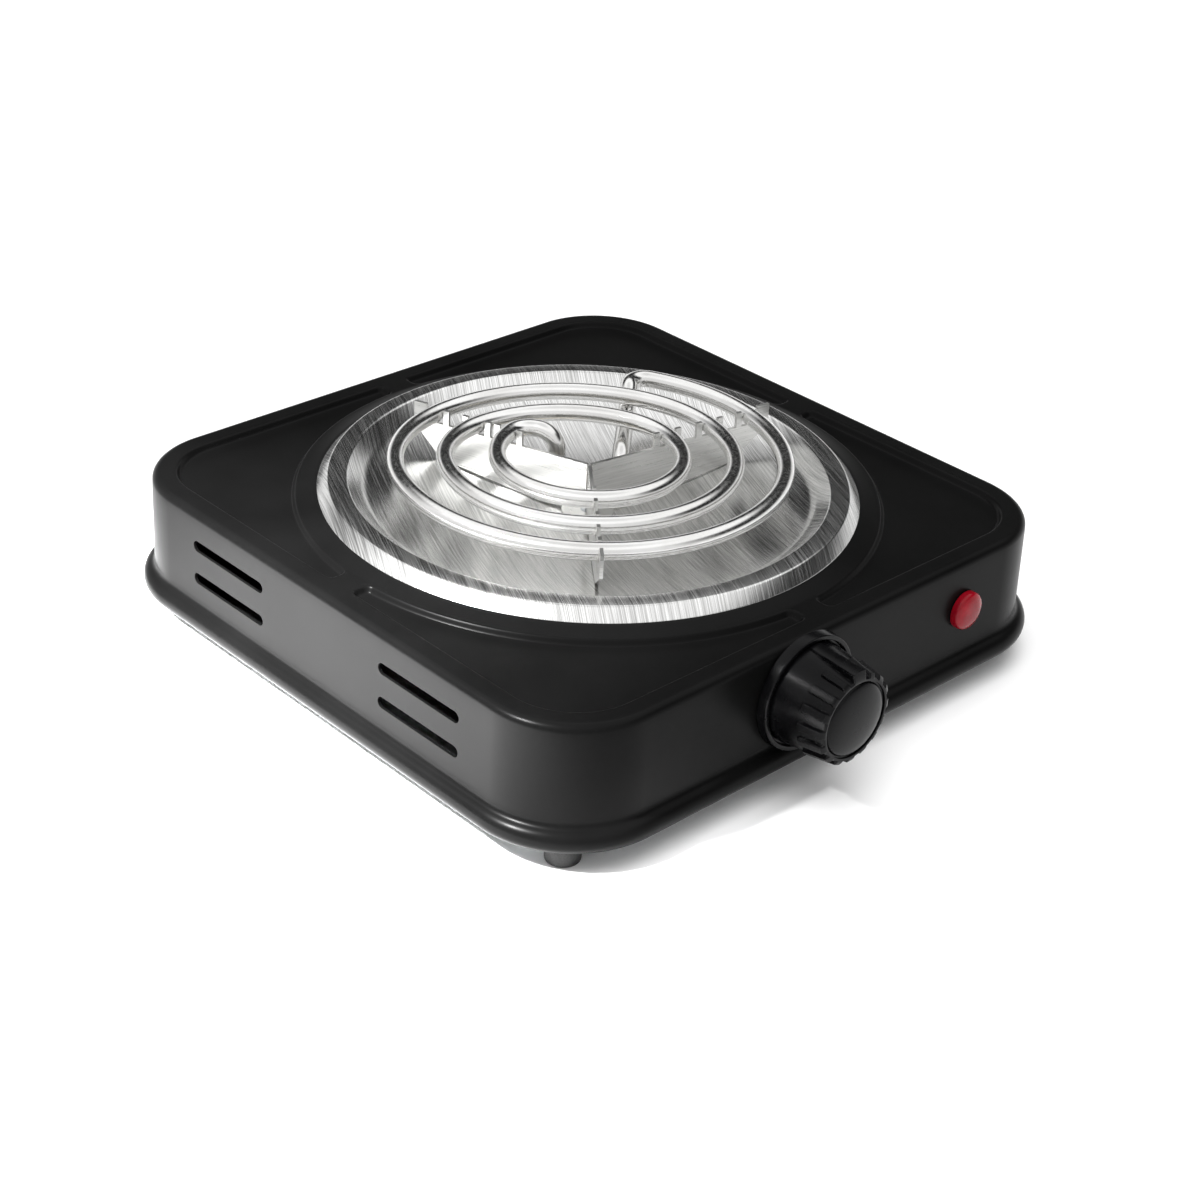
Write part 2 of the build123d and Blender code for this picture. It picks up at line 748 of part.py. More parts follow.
# Pilot lamp -----------------------------------------------------------------

lamp_wall_y = -wall_half(lamp_z - lens_r) - 0.02


def lamp_turned(points):
    """Solid turned about the lamp's axis from (radius, distance forward of the wall) points."""
    return Pos(lamp_x, lamp_wall_y, lamp_z) * Rot(90, 0, 0) * turned(points)


def lamp_lens():
    side = lens_out - lens_dome
    lens = lamp_turned([(0, 0), (lens_r, 0), (lens_r - 0.2, side), (lens_r * 0.8, side + lens_dome * 0.55),
                        (lens_r * 0.4, side + lens_dome * 0.9), (0, lens_out)])
    neck = lamp_turned([(0, -sheet - 6), (lamp_neck_r, -sheet - 6), (lamp_neck_r, 0), (0, 0)])
    hollow = lamp_turned([(0, -sheet - 7), (neon_r + 0.4, -sheet - 7), (neon_r + 0.4, 0.5), (0, 0.5)])
    return lens + neck - hollow


def lamp_body():
    body = lamp_turned([(neon_r + 0.4, -sheet - lamp_body_length), (lamp_neck_r, -sheet - lamp_body_length),
                        (lamp_neck_r, -sheet - 6), (neon_r + 0.4, -sheet - 6)])
    cap = lamp_turned([(0, -sheet - lamp_body_length - 2), (lamp_neck_r, -sheet - lamp_body_length - 2),
                       (lamp_neck_r, -sheet - lamp_body_length), (0, -sheet - lamp_body_length)])
    return body + cap


def lamp_neon():
    back = -sheet - lamp_body_length
    tip = back + neon_length
    return lamp_turned([(0, back), (neon_r, back), (neon_r, tip), (0, tip + 1.5)])


def lamp_clip():
    """Spring washer behind the wall that keeps the lamp in its hole."""
    return lamp_turned([(lamp_neck_r + 0.05, -sheet - 0.6 - lamp_clip_sheet),
                        (lamp_clip_r, -sheet - 0.6 - lamp_clip_sheet), (lamp_clip_r, -sheet - 0.6),
                        (lamp_neck_r + 0.05, -sheet - 0.6)])


# Mains inlet, terminal block and leads --------------------------------------------

rear_y = wall_half(inlet_z - inlet_flange_r)
block_y = rear_y - block_from_rear


def inlet_grommet():
    """Rubber grommet in the rear wall, with the bore the mains cord goes through."""
    flange = front_rod(inlet_flange_r, rear_y + 0.02, rear_y + inlet_flange, inlet_x, inlet_z)
    neck = front_rod(inlet_neck_r, rear_y - sheet - 3, rear_y + inlet_out, inlet_x, inlet_z)
    lip = front_rod(inlet_flange_r - 0.6, rear_y - sheet - 3, rear_y - sheet - 0.8, inlet_x, inlet_z)
    return flange + neck + lip - front_rod(inlet_bore_r, rear_y - 10, rear_y + 10, inlet_x, inlet_z)


def cord_clamp():
    """Saddle on the base plate that grips the cord behind the inlet."""
    y = rear_y - 16
    half = clamp_length / 2
    arch = Pos(inlet_x, y, inlet_z) * Rot(90, 0, 0) * Cylinder(inlet_bore_r + clamp_sheet, clamp_width)
    wings = block(inlet_x - half, inlet_x + half, y - clamp_width / 2, y + clamp_width / 2,
                  inlet_z - clamp_sheet, inlet_z)
    upper = block(inlet_x - half, inlet_x + half, y - clamp_width, y + clamp_width, inlet_z - clamp_sheet,
                  inlet_z + 20)
    bore = Pos(inlet_x, y, inlet_z) * Rot(90, 0, 0) * Cylinder(inlet_bore_r, clamp_width + 2)
    saddle = (arch & upper) + wings - bore
    for side in (-1, 1):
        saddle = saddle - rod(screw_r + screw_gap, inlet_z - 10, inlet_z + 10, inlet_x + side * 9, y)
    return saddle


def clamp_post():
    """Pressed block under the saddle, standing on the base plate."""
    y = rear_y - 16
    half = clamp_length / 2
    post = block(inlet_x - half, inlet_x + half, y - clamp_width / 2, y + clamp_width / 2,
                 plate_top, inlet_z - clamp_sheet)
    bore = Pos(inlet_x, y, inlet_z) * Rot(90, 0, 0) * Cylinder(inlet_bore_r, clamp_width + 2)
    post = post - bore
    for side in (-1, 1):
        post = post - rod(screw_r, inlet_z - 12, inlet_z, inlet_x + side * 9, y)
    return post


def clamp_screws():
    y = rear_y - 16
    screws = []
    for side in (-1, 1):
        body = Rot(180, 0, 0) * screw(0, 10, 0, 0)
        screws.append((Pos(inlet_x + side * 9, y, inlet_z) * body).solid())
    return Compound(screws)


def pole_xs():
    pitch = block_length / block_poles
    return [inlet_x + (i - (block_poles - 1) / 2) * pitch for i in range(block_poles)]


def block_mid_z():
    return plate_top + block_height / 2


def terminal_block():
    body = block(inlet_x - block_length / 2, inlet_x + block_length / 2, block_y - block_width / 2,
                 block_y + block_width / 2, plate_top, plate_top + block_height)
    for x in pole_xs():
        body = body - front_rod(pole_r, block_y - block_width, block_y + block_width, x, block_mid_z())
        body = body - rod(pole_r, block_mid_z(), plate_top + block_height + 1, x, block_y)
    return body


def block_screws():
    top = plate_top + block_height
    screws = []
    for x in pole_xs():
        screws.append(rod(pole_r - 0.1, block_mid_z() + lead_r + 0.3, top - 0.8, x, block_y).solid())
    return Compound(screws)


def lead(points):
    """Insulated lead along straight runs joined by tangent arcs."""
    path = FilletPolyline(*points, radius=lead_bend)
    section = Plane(origin=path @ 0, z_dir=path % 0) * Circle(lead_r)
    return sweep(section, path=path)


def live_lead():
    """From the terminal block round the left of the burner to the thermostat."""
    x, y = spade_places()[0]
    z = block_mid_z()
    end = y + spade_length + 0.2
    return lead([(pole_xs()[0], block_y, z), (pole_xs()[0], block_y - 24, z), (-70, block_y - 24, z),
                 (-70, end + 14, z), (x, end + 14, z), (x, end + 14, knob_z), (x, end, knob_z)])


def switched_lead():
    """From the thermostat to the coil's outer pin."""
    x, y = spade_places()[1]
    px, py = leg_places()[1]
    end = rim_z + leg_end_h - pin_length - 0.2
    return lead([(x, y + spade_length + 0.2, knob_z), (x, y + spade_length + 16, knob_z),
                 (x, y + spade_length + 16, end - 10), (px, y + spade_length + 16, end - 10),
                 (px, py, end - 10), (px, py, end)])


def neutral_lead():
    """From the terminal block to the coil's inner pin."""
    px, py = leg_places()[0]
    end = rim_z + leg_end_h - pin_length - 0.2
    return lead([(pole_xs()[1], block_y, block_mid_z()), (pole_xs()[1], block_y - 34, block_mid_z()),
                 (px, block_y - 34, block_mid_z()), (px, py, block_mid_z()), (px, py, end)])


def earth_lead():
    """From the terminal block down to the earth stud on the base plate."""
    x = pole_xs()[2]
    low = plate_top + 1.6 + lead_r
    return lead([(x, block_y, block_mid_z()), (x, block_y - 18, block_mid_z()),
                 (x, block_y - 28, low), (x, block_y - 40, low)])


def earth_stud():
    """Stud with its ring tag and nut, on the base plate."""
    x = pole_xs()[2]
    y = block_y - 46
    stud = rod(screw_r, plate_top, plate_top + 8, x, y)
    nut = Pos(x, y, plate_top + 1.6) * extrude(RegularPolygon(3.8, 6), 2.6)
    ring = rod(5.0, plate_top, plate_top + 1.6, x, y)
    return stud + nut + ring


nodes = {
    "housing": housing,
    "base_plate": base_plate,
    "base_screws": base_screws,
    "foot_screws": foot_screws,
    "foot_nuts": foot_nuts,
    "drip_pan": drip_pan,
    "coil_pins": coil_pins,
    "coil_bushings": bushings,
    "support_hub_plate": hub_plate,
    "centre_bolt": centre_bolt,
    "bolt_washer": bolt_washer,
    "pan_nut": pan_nut,
    "knob": knob,
    "knob_bezel": knob_bezel,
    "thermostat_shaft": thermostat_shaft,
    "thermostat_bush": thermostat_bush,
    "thermostat_nut": thermostat_nut,
    "thermostat_frame": thermostat_frame,
    "thermostat_base": thermostat_base,
    "thermostat_spades": thermostat_spades,
    "bimetal_strip": bimetal_strip,
    "contact_arm": contact_arm,
    "lamp_lens": lamp_lens,
    "lamp_body": lamp_body,
    "lamp_neon": lamp_neon,
    "lamp_clip": lamp_clip,
    "inlet_grommet": inlet_grommet,
    "cord_clamp": cord_clamp,
    "cord_clamp_post": clamp_post,
    "clamp_screws": clamp_screws,
    "terminal_block": terminal_block,
    "terminal_screws": block_screws,
    "live_lead": live_lead,
    "switched_lead": switched_lead,
    "neutral_lead": neutral_lead,
    "earth_lead": earth_lead,
    "earth_stud": earth_stud,
}

front_end = knob_y - knob_length
rear_end = rear_y + inlet_out
middle_y = (front_end + rear_end) / 2

os.makedirs("parts", exist_ok=True)
for name, make in nodes.items():
    export_step(Pos(0, -middle_y, 0) * make(), f"parts/{name}.step")
for name, path in zip(("outer", "middle", "inner"), coil_paths()):
    export_step(Pos(0, -middle_y, 0) * tube_along(path, tube_r), f"parts/coil_{name}_turn.step")
for side, angle in blade_angles.items():
    export_step(Pos(0, -middle_y, 0) * blade(angle), f"parts/support_blade_{side}.step")
for corner, (x, y) in zip(("front_left", "front_right", "rear_right", "rear_left"), foot_places()):
    export_step(Pos(0, -middle_y, 0) * foot(x, y), f"parts/foot_{corner}.step")
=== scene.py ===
import bpy
import numpy as np
from mathutils import Matrix, Vector

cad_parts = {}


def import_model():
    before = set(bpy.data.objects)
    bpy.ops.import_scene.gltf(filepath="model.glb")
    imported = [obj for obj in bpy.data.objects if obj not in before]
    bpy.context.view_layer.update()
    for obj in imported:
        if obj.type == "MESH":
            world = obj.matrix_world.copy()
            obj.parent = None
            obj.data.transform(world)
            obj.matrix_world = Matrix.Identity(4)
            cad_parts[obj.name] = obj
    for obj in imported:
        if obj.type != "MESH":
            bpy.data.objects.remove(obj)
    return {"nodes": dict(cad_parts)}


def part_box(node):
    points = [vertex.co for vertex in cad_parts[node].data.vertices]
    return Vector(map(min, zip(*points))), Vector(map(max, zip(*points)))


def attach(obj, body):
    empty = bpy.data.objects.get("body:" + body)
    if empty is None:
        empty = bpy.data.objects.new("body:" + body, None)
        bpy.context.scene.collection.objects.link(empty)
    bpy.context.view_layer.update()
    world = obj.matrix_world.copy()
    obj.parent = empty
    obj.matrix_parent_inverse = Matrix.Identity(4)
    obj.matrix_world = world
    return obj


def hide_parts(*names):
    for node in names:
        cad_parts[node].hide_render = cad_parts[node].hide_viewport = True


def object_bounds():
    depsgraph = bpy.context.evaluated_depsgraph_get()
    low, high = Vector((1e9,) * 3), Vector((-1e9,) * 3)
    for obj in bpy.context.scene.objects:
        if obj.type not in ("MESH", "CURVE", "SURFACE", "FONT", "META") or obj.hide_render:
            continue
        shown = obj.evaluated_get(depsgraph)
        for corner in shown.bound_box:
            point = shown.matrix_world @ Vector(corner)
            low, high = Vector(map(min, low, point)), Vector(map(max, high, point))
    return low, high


# Hot plate burner. Lengths in the dictionaries are millimetres, angles are degrees.
# Heights named "h" are above the flat top of the housing.

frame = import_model()
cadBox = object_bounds()
mm = 0.001
lowHousing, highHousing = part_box("housing")
centre = np.array([(lowHousing.x + highHousing.x) / 2, (lowHousing.y + highHousing.y) / 2, highHousing.z])
print("frame loaded:", len(frame["nodes"]), "nodes")


# A mesh from points in millimetres from the burner's axis and the housing's top, as an N x 3 array.
# It rides on a body, takes a slot and stands in for the CAD nodes it replaces.
def newPiece(name, points, faces, material, body, replaced=(), sharp=35):
    mesh = bpy.data.meshes.new(name)
    mesh.from_pydata((points * mm + centre).tolist(), [], faces)
    mesh.validate()
    mesh.update()
    return finishPiece(name, mesh, material, body, replaced, sharp)


# Smooth shading with edges kept sharp above an angle, a material, a body and a slot.
def finishPiece(name, mesh, material, body, replaced=(), sharp=35):
    mesh.shade_smooth()
    mesh.set_sharp_from_angle(angle=np.radians(sharp))
    mesh.materials.clear()
    mesh.materials.append(material)
    piece = bpy.data.objects.new(name, mesh)
    bpy.context.scene.collection.objects.link(piece)
    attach(piece, body)
    if replaced:
        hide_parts(*replaced)
    return piece


# Quads of a grid of points stored row by row: point (r, c) is number r * columns + c, and the last
# column joins the first where the outline is closed.
def gridFaces(rows, columns, wrapRows=False, wrapColumns=True, start=0):
    lastRow = rows if wrapRows else rows - 1
    lastColumn = columns if wrapColumns else columns - 1
    r, c = np.meshgrid(np.arange(lastRow), np.arange(lastColumn), indexing="ij")
    r2, c2 = (r + 1) % rows, (c + 1) % columns
    quads = np.stack([r * columns + c, r * columns + c2, r2 * columns + c2, r2 * columns + c], -1)
    return (quads.reshape(-1, 4) + start).tolist()


# Triangles from one row of a grid to a single point.
def fan(row, columns, tip, flip=False):
    c = np.arange(columns)
    c2 = (c + 1) % columns
    tris = np.stack([row * columns + c, row * columns + c2, np.full(columns, tip)], -1)
    return (tris[:, ::-1] if flip else tris).tolist()


# Polyline through (radius, height, rounding) corners; each corner is replaced by a quadratic curve
# that leaves and meets its two sides at the rounding distance.
def roundedProfile(corners, steps=5):
    pts = np.array([c[:2] for c in corners], float)
    out = [pts[:1]]
    t = np.linspace(0, 1, steps)[:, None]
    for i in range(1, len(pts) - 1):
        before, after = pts[i - 1] - pts[i], pts[i + 1] - pts[i]
        reach = min(corners[i][2], 0.45 * np.hypot(*before), 0.45 * np.hypot(*after))
        a = pts[i] + before / np.hypot(*before) * reach
        b = pts[i] + after / np.hypot(*after) * reach
        out.append((1 - t) ** 2 * a + 2 * t * (1 - t) * pts[i] + t ** 2 * b if reach > 0 else pts[i:i + 1])
    out.append(pts[-1:])
    return np.vstack(out)


# Turned surface: point = (radius cos a, radius sin a, height) for each profile point and angle a. A
# profile that starts or ends on the axis closes in one pole point. Axis "y" turns the piece so that
# its heights run towards the front.
def lathe(profile, count, axis="z", at=(0, 0, 0)):
    a = np.linspace(0, 2 * np.pi, count, endpoint=False)
    startPole, endPole = profile[0, 0] < 1e-6, profile[-1, 0] < 1e-6
    rings = profile[1 if startPole else 0:len(profile) - 1 if endPole else len(profile)]
    x = rings[:, :1] * np.cos(a)
    y = rings[:, :1] * np.sin(a)
    z = np.repeat(rings[:, 1:], count, 1)
    points = np.stack([x, y, z], -1).reshape(-1, 3)
    faces = gridFaces(len(rings), count)
    if startPole:
        points = np.vstack([points, [[0, 0, profile[0, 1]]]])
        faces += fan(0, count, len(points) - 1, flip=True)
    if endPole:
        points = np.vstack([points, [[0, 0, profile[-1, 1]]]])
        faces += fan(len(rings) - 1, count, len(points) - 1)
    if axis == "y":
        points = points[:, [0, 2, 1]] * np.array([1, -1, 1])
    return points + np.array(at), faces


# A CAD node's box in millimetres from the burner's axis and the housing's top.
def localBox(node):
    low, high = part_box(node)
    return (np.array(low) - centre) / mm, (np.array(high) - centre) / mm


# The middle of a node's box, across and in height.
def middleOf(node):
    low, high = localBox(node)
    return (low[0] + high[0]) / 2, (low[2] + high[2]) / 2


# sRGB hex to the linear colour that shaders use.
def linear(hexColour):
    srgb = np.array([int(hexColour[i:i + 2], 16) / 255 for i in (1, 3, 5)])
    value = np.where(srgb <= 0.04045, srgb / 12.92, ((srgb + 0.055) / 1.055) ** 2.4)
    return (*value, 1.0)


# Adds a node, sets its properties, and sets or links each named or numbered input.
def addNode(tree, kind, inputs=None, **settings):
    node = tree.nodes.new(kind)
    for key, value in settings.items():
        setattr(node, key, value)
    for key, value in (inputs or {}).items():
        if isinstance(value, bpy.types.NodeSocket):
            tree.links.new(value, node.inputs[key])
        else:
            node.inputs[key].default_value = value
    return node


# Empty node material with its Principled shader, and the point on the object in metres.
def newMaterial(name):
    material = bpy.data.materials.new(name)
    material.use_nodes = True
    tree = material.node_tree
    shader = tree.nodes["Principled BSDF"]
    place = addNode(tree, "ShaderNodeTexCoord").outputs["Object"]
    return material, tree, shader, place


# Noise whose grains are sizeMm across, made longer by stretch along X, Y and Z turned about Z.
def noise(tree, place, sizeMm, detail=3.0, roughness=0.5, stretch=(1, 1, 1), turn=0):
    mapped = addNode(tree, "ShaderNodeMapping", {"Vector": place, "Scale": stretch,
                                                 "Rotation": (0, 0, np.radians(turn))}, vector_type="TEXTURE")
    return addNode(tree, "ShaderNodeTexNoise", {"Vector": mapped.outputs[0], "Scale": 1 / (sizeMm * mm),
                                                "Detail": detail, "Roughness": roughness}).outputs["Fac"]


# A value stretched from its middle range to low..high.
def ramp(tree, value, low, high, fromMin=0.3, fromMax=0.7):
    return addNode(tree, "ShaderNodeMapRange", {"Value": value, "From Min": fromMin, "From Max": fromMax,
                                                "To Min": low, "To Max": high}).outputs["Result"]


# A colour between two hex colours, by a value of 0 to 1.
def mixColours(tree, value, first, second):
    node = addNode(tree, "ShaderNodeMix", data_type="RGBA")
    tree.links.new(value, node.inputs["Factor"])
    node.inputs[6].default_value = linear(first)
    node.inputs[7].default_value = linear(second)
    return node.outputs[2]


# Small relief on the surface: the height of a pattern, its depth in millimetres.
def bump(tree, shader, height, depthMm, strength=1.0):
    node = addNode(tree, "ShaderNodeBump", {"Height": height, "Distance": depthMm * mm, "Strength": strength})
    tree.links.new(node.outputs["Normal"], shader.inputs["Normal"])


enamelLook = {"dark": "#090909", "light": "#0e0e0e", "cloudMm": 38, "roughness": (0.28, 0.31),
              "roughMm": 5, "ior": 1.45, "specular": 0.07, "peelMm": 1.6, "peelDepth": 0.004}


def stoveEnamel():
    # sprayed and baked black stove enamel: a satin, almost neutral black with a faint orange peel
    material, tree, shader, place = newMaterial("bakedStoveEnamel")
    cloud = noise(tree, place, enamelLook["cloudMm"], 2)
    tree.links.new(mixColours(tree, ramp(tree, cloud, 0, 1), enamelLook["dark"], enamelLook["light"]),
                   shader.inputs["Base Color"])
    fine = noise(tree, place, enamelLook["roughMm"], 4)
    tree.links.new(ramp(tree, fine, *enamelLook["roughness"]), shader.inputs["Roughness"])
    shader.inputs["IOR"].default_value = enamelLook["ior"]
    shader.inputs["Specular IOR Level"].default_value = enamelLook["specular"]
    bump(tree, shader, noise(tree, place, enamelLook["peelMm"], 1), enamelLook["peelDepth"])
    return material


# Metal with straight lines: noise drawn out along X, Y and Z by the given stretch, and soft clouds
# of cloudMm. The colour follows the sum of the two.
def brushedMetal(name, dark, light, roughness, streakMm, stretch, depth, cloudMm=30):
    material, tree, shader, place = newMaterial(name)
    streak = noise(tree, place, streakMm, 3, 0.6, stretch)
    cloud = noise(tree, place, cloudMm, 2)
    both = addNode(tree, "ShaderNodeMath", {0: streak, 1: cloud}, operation="ADD").outputs[0]
    tree.links.new(mixColours(tree, ramp(tree, both, 0, 1, 0.75, 1.25), dark, light),
                   shader.inputs["Base Color"])
    tree.links.new(ramp(tree, streak, *roughness), shader.inputs["Roughness"])
    shader.inputs["Metallic"].default_value = 1.0
    bump(tree, shader, streak, depth)
    return material


# The lines are drawn coarser than those of a real brushed sheet, so that they show. They don't change
# with height, so the slopes have lines too and no specks.
panLook = {"dark": "#bcbcbb", "light": "#f8f8f7", "roughness": (0.18, 0.25), "range": (0.38, 0.62),
           "grainMm": 0.4, "grainLength": 60, "broadTimes": 8, "broadLength": 8, "upright": 1000,
           "turn": 65, "broadShare": 0.12, "depth": 0.0015}


def panStainless():
    # brushed stainless sheet, brushed straight across before it was pressed: fine bright and dark
    # streaks that all run one way, with longer, softer bands between them
    material, tree, shader, place = newMaterial("brushedStainless")
    upright, turn = panLook["upright"], panLook["turn"]
    fine = noise(tree, place, panLook["grainMm"], 3, 0.6, (panLook["grainLength"], 1, upright), turn)
    broad = noise(tree, place, panLook["grainMm"] * panLook["broadTimes"], 2, 0.5,
                  (panLook["broadLength"], 1, upright), turn)
    streak = addNode(tree, "ShaderNodeMix", {0: panLook["broadShare"], 2: fine, 3: broad}).outputs[0]
    colour = mixColours(tree, ramp(tree, streak, 0, 1, *panLook["range"]), panLook["dark"], panLook["light"])
    tree.links.new(colour, shader.inputs["Base Color"])
    tree.links.new(ramp(tree, streak, *panLook["roughness"], *panLook["range"]), shader.inputs["Roughness"])
    shader.inputs["Metallic"].default_value = 1.0
    bump(tree, shader, fine, panLook["depth"])
    return material


sheathLook = {"dark": "#e2e1df", "light": "#f4f4f3", "cloudMm": 24, "roughness": (0.12, 0.24),
              "fineMm": 1.2, "depth": 0.003}


def drawnTube():
    # bright-drawn nickel alloy sheath: nearly mirror bright, with faint unevenness in its gloss
    material, tree, shader, place = newMaterial("drawnNickelSheath")
    cloud = noise(tree, place, sheathLook["cloudMm"], 3)
    tree.links.new(mixColours(tree, ramp(tree, cloud, 0, 1), sheathLook["dark"], sheathLook["light"]),
                   shader.inputs["Base Color"])
    fine = noise(tree, place, sheathLook["fineMm"], 4)
    tree.links.new(ramp(tree, fine, *sheathLook["roughness"]), shader.inputs["Roughness"])
    shader.inputs["Metallic"].default_value = 1.0
    bump(tree, shader, fine, sheathLook["depth"])
    return material


phenolicLook = {"dark": "#040405", "light": "#09090a", "cloudMm": 9, "roughness": (0.2, 0.28), "roughMm": 3,
                "ior": 1.6, "specular": 0.1, "waveMm": 2.2, "waveDepth": 0.008}


def mouldedPhenolic():
    # compression-moulded black phenolic: a deep glossy black, very slightly wavy
    material, tree, shader, place = newMaterial("mouldedPhenolic")
    cloud = noise(tree, place, phenolicLook["cloudMm"], 2)
    tree.links.new(mixColours(tree, ramp(tree, cloud, 0, 1), phenolicLook["dark"], phenolicLook["light"]),
                   shader.inputs["Base Color"])
    fine = noise(tree, place, phenolicLook["roughMm"], 3)
    tree.links.new(ramp(tree, fine, *phenolicLook["roughness"]), shader.inputs["Roughness"])
    shader.inputs["IOR"].default_value = phenolicLook["ior"]
    shader.inputs["Specular IOR Level"].default_value = phenolicLook["specular"]
    bump(tree, shader, noise(tree, place, phenolicLook["waveMm"], 1), phenolicLook["waveDepth"])
    return material


redLook = {"dark": "#740614", "light": "#8e0b1b", "cloudMm": 6, "roughness": (0.10, 0.2), "roughMm": 2,
           "ior": 1.58, "specular": 0.2, "glow": 0.12, "glowReach": (0.004, 0.0006, 0.0004),
           "waveMm": 1.2, "waveDepth": 0.006}


def lampRed():
    # injection-moulded red polycarbonate: saturated, glossy, lets light into its edge
    material, tree, shader, place = newMaterial("redPolycarbonate")
    cloud = noise(tree, place, redLook["cloudMm"], 2)
    tree.links.new(mixColours(tree, ramp(tree, cloud, 0, 1), redLook["dark"], redLook["light"]),
                   shader.inputs["Base Color"])
    fine = noise(tree, place, redLook["roughMm"], 2)
    tree.links.new(ramp(tree, fine, *redLook["roughness"]), shader.inputs["Roughness"])
    shader.inputs["IOR"].default_value = redLook["ior"]
    shader.inputs["Specular IOR Level"].default_value = redLook["specular"]
    shader.inputs["Subsurface Weight"].default_value = redLook["glow"]
    shader.inputs["Subsurface Radius"].default_value = redLook["glowReach"]
    bump(tree, shader, noise(tree, place, redLook["waveMm"], 1), redLook["waveDepth"])
    return material


# Moulded plastic or rubber: two near colours in soft clouds over a fine moulded grain.
def plainPlastic(name, dark, light, roughness, grainMm=0.6, depth=0.01, cloudMm=12):
    material, tree, shader, place = newMaterial(name)
    cloud = noise(tree, place, cloudMm, 2)
    tree.links.new(mixColours(tree, ramp(tree, cloud, 0, 1), dark, light), shader.inputs["Base Color"])
    grain = noise(tree, place, grainMm, 3)
    tree.links.new(ramp(tree, grain, *roughness), shader.inputs["Roughness"])
    bump(tree, shader, grain, depth)
    return material


zincLook = {"dark": "#8b8e90", "light": "#b4b7b8", "crystalMm": 9, "roughness": (0.32, 0.5),
            "reliefMm": 3, "relief": 0.01}


def galvanised():
    # hot-dip galvanised sheet: grey zinc crystals a centimetre across, each a little lighter or darker
    material, tree, shader, place = newMaterial("galvanisedSheet")
    cells = addNode(tree, "ShaderNodeTexVoronoi",
                    {"Vector": place, "Scale": 1 / (zincLook["crystalMm"] * mm)})
    grey = addNode(tree, "ShaderNodeRGBToBW", {0: cells.outputs["Color"]}).outputs[0]
    tree.links.new(mixColours(tree, grey, zincLook["dark"], zincLook["light"]), shader.inputs["Base Color"])
    tree.links.new(ramp(tree, grey, *zincLook["roughness"], 0.2, 0.8), shader.inputs["Roughness"])
    shader.inputs["Metallic"].default_value = 1.0
    bump(tree, shader, noise(tree, place, zincLook["reliefMm"], 3), zincLook["relief"])
    return material


enamel = stoveEnamel()
stainless = panStainless()
sheath = drawnTube()
phenolic = mouldedPhenolic()
redLens = lampRed()
# cold-rolled strip: bright grey with rolling lines along the blade
stripSteel = brushedMetal("coldRolledStrip", "#d2d2d0", "#f0f0ee", (0.26, 0.36), 0.5, (30, 30, 1), 0.0015)
# zinc plate: pale, slightly blue and fine-grained
zincPlate = brushedMetal("zincPlate", "#a5a8ac", "#cfd2d4", (0.26, 0.42), 0.8, (3, 1, 1), 0.01)
# rolled brass: warm yellow, with lines along the strip
brass = brushedMetal("brassStrip", "#b08d4c", "#d9b974", (0.22, 0.38), 0.6, (12, 1, 1), 0.008)
# moulded rubber: a dull near-black with a fine matt grain
rubber = plainPlastic("mouldedRubber", "#101010", "#1b1b1b", (0.6, 0.8), 0.5, 0.02)
# fired steatite: chalky cream, matt and slightly gritty
steatite = plainPlastic("firedSteatite", "#d6cfbf", "#e8e2d6", (0.5, 0.7), 0.4, 0.02)
# moulded nylon: milky white with a soft sheen
nylon = plainPlastic("mouldedNylon", "#d4d3cc", "#e4e3de", (0.38, 0.5))
# neon glow tube: glossy glass with a faint orange cast
glassTube = plainPlastic("neonGlass", "#d8a98a", "#e8c0a4", (0.08, 0.14))
# silicone sleeves of the leads: flat, slightly soft colours
redSleeve = plainPlastic("redSiliconeSleeve", "#7a1c18", "#8f2721", (0.5, 0.62))
whiteSleeve = plainPlastic("whiteSiliconeSleeve", "#cfcec9", "#dddcd8", (0.5, 0.62))
greenSleeve = plainPlastic("greenSiliconeSleeve", "#25602c", "#2f7538", (0.5, 0.62))
galvanisedSheet = galvanised()
print("materials made")


# Insets are from the top's edge. The inside's rows and the bead are given by height and angle.
shell = {"half": 115.0, "corner": 32.2, "edge": 2.7, "draft": 1.0, "holeRadius": 85.5, "lipRadius": 89,
         "ringFoot": 92.5, "ringRadii": (94, 96, 97.6, 98.7), "ringRise": 1.3, "ringCurve": 1.3,
         "pocketRing": 99.4, "pocketInset": 8.0, "pocketInsets": (6.6, 5.0, 3.6), "pocketDepth": 2.0,
         "pocketSlope": 1.7, "pocketEnd": 2.8, "bridge": 5.0, "wallTop": -4.5, "wallEnd": -33.0,
         "hollow": 2.6, "beadRadius": 4.1, "beadOut": 0.5, "beadH": -39.4, "beadStop": -120,
         "sheet": 1.0, "insideH": (-41.5, -30, -16, -4), "insideEdge": (2.4, 0.3),
         "perSide": 160, "perCorner": 64, "middleShare": 0.35, "sharp": 40}
slots = {"length": 38.5, "height": 4.0, "fromMiddle": 30.0, "h": (-12.3, -24.5), "cutReach": 6,
         "endPoints": 13}


# Rounded square, inset from the housing's top edge. Each side's points follow a cubic, close
# together at its middle, where the bridges between the pockets are, then a quarter circle.
def outline(inset):
    s = np.linspace(-1, 1, shell["perSide"], endpoint=False)
    flat = shell["half"] - shell["corner"]
    along = flat * (shell["middleShare"] * s + (1 - shell["middleShare"]) * s ** 3)
    a = np.linspace(0, np.pi / 2, shell["perCorner"], endpoint=False)
    radius = shell["corner"] - inset
    side = np.stack([np.full_like(along, flat + radius), along], -1)
    corner = np.stack([flat + radius * np.cos(a), flat + radius * np.sin(a)], -1)
    quarter = np.vstack([side, corner])
    turns = [quarter @ np.array([[c, t], [-t, c]]) for c, t in ((1, 0), (0, 1), (-1, 0), (0, -1))]
    return np.vstack(turns)


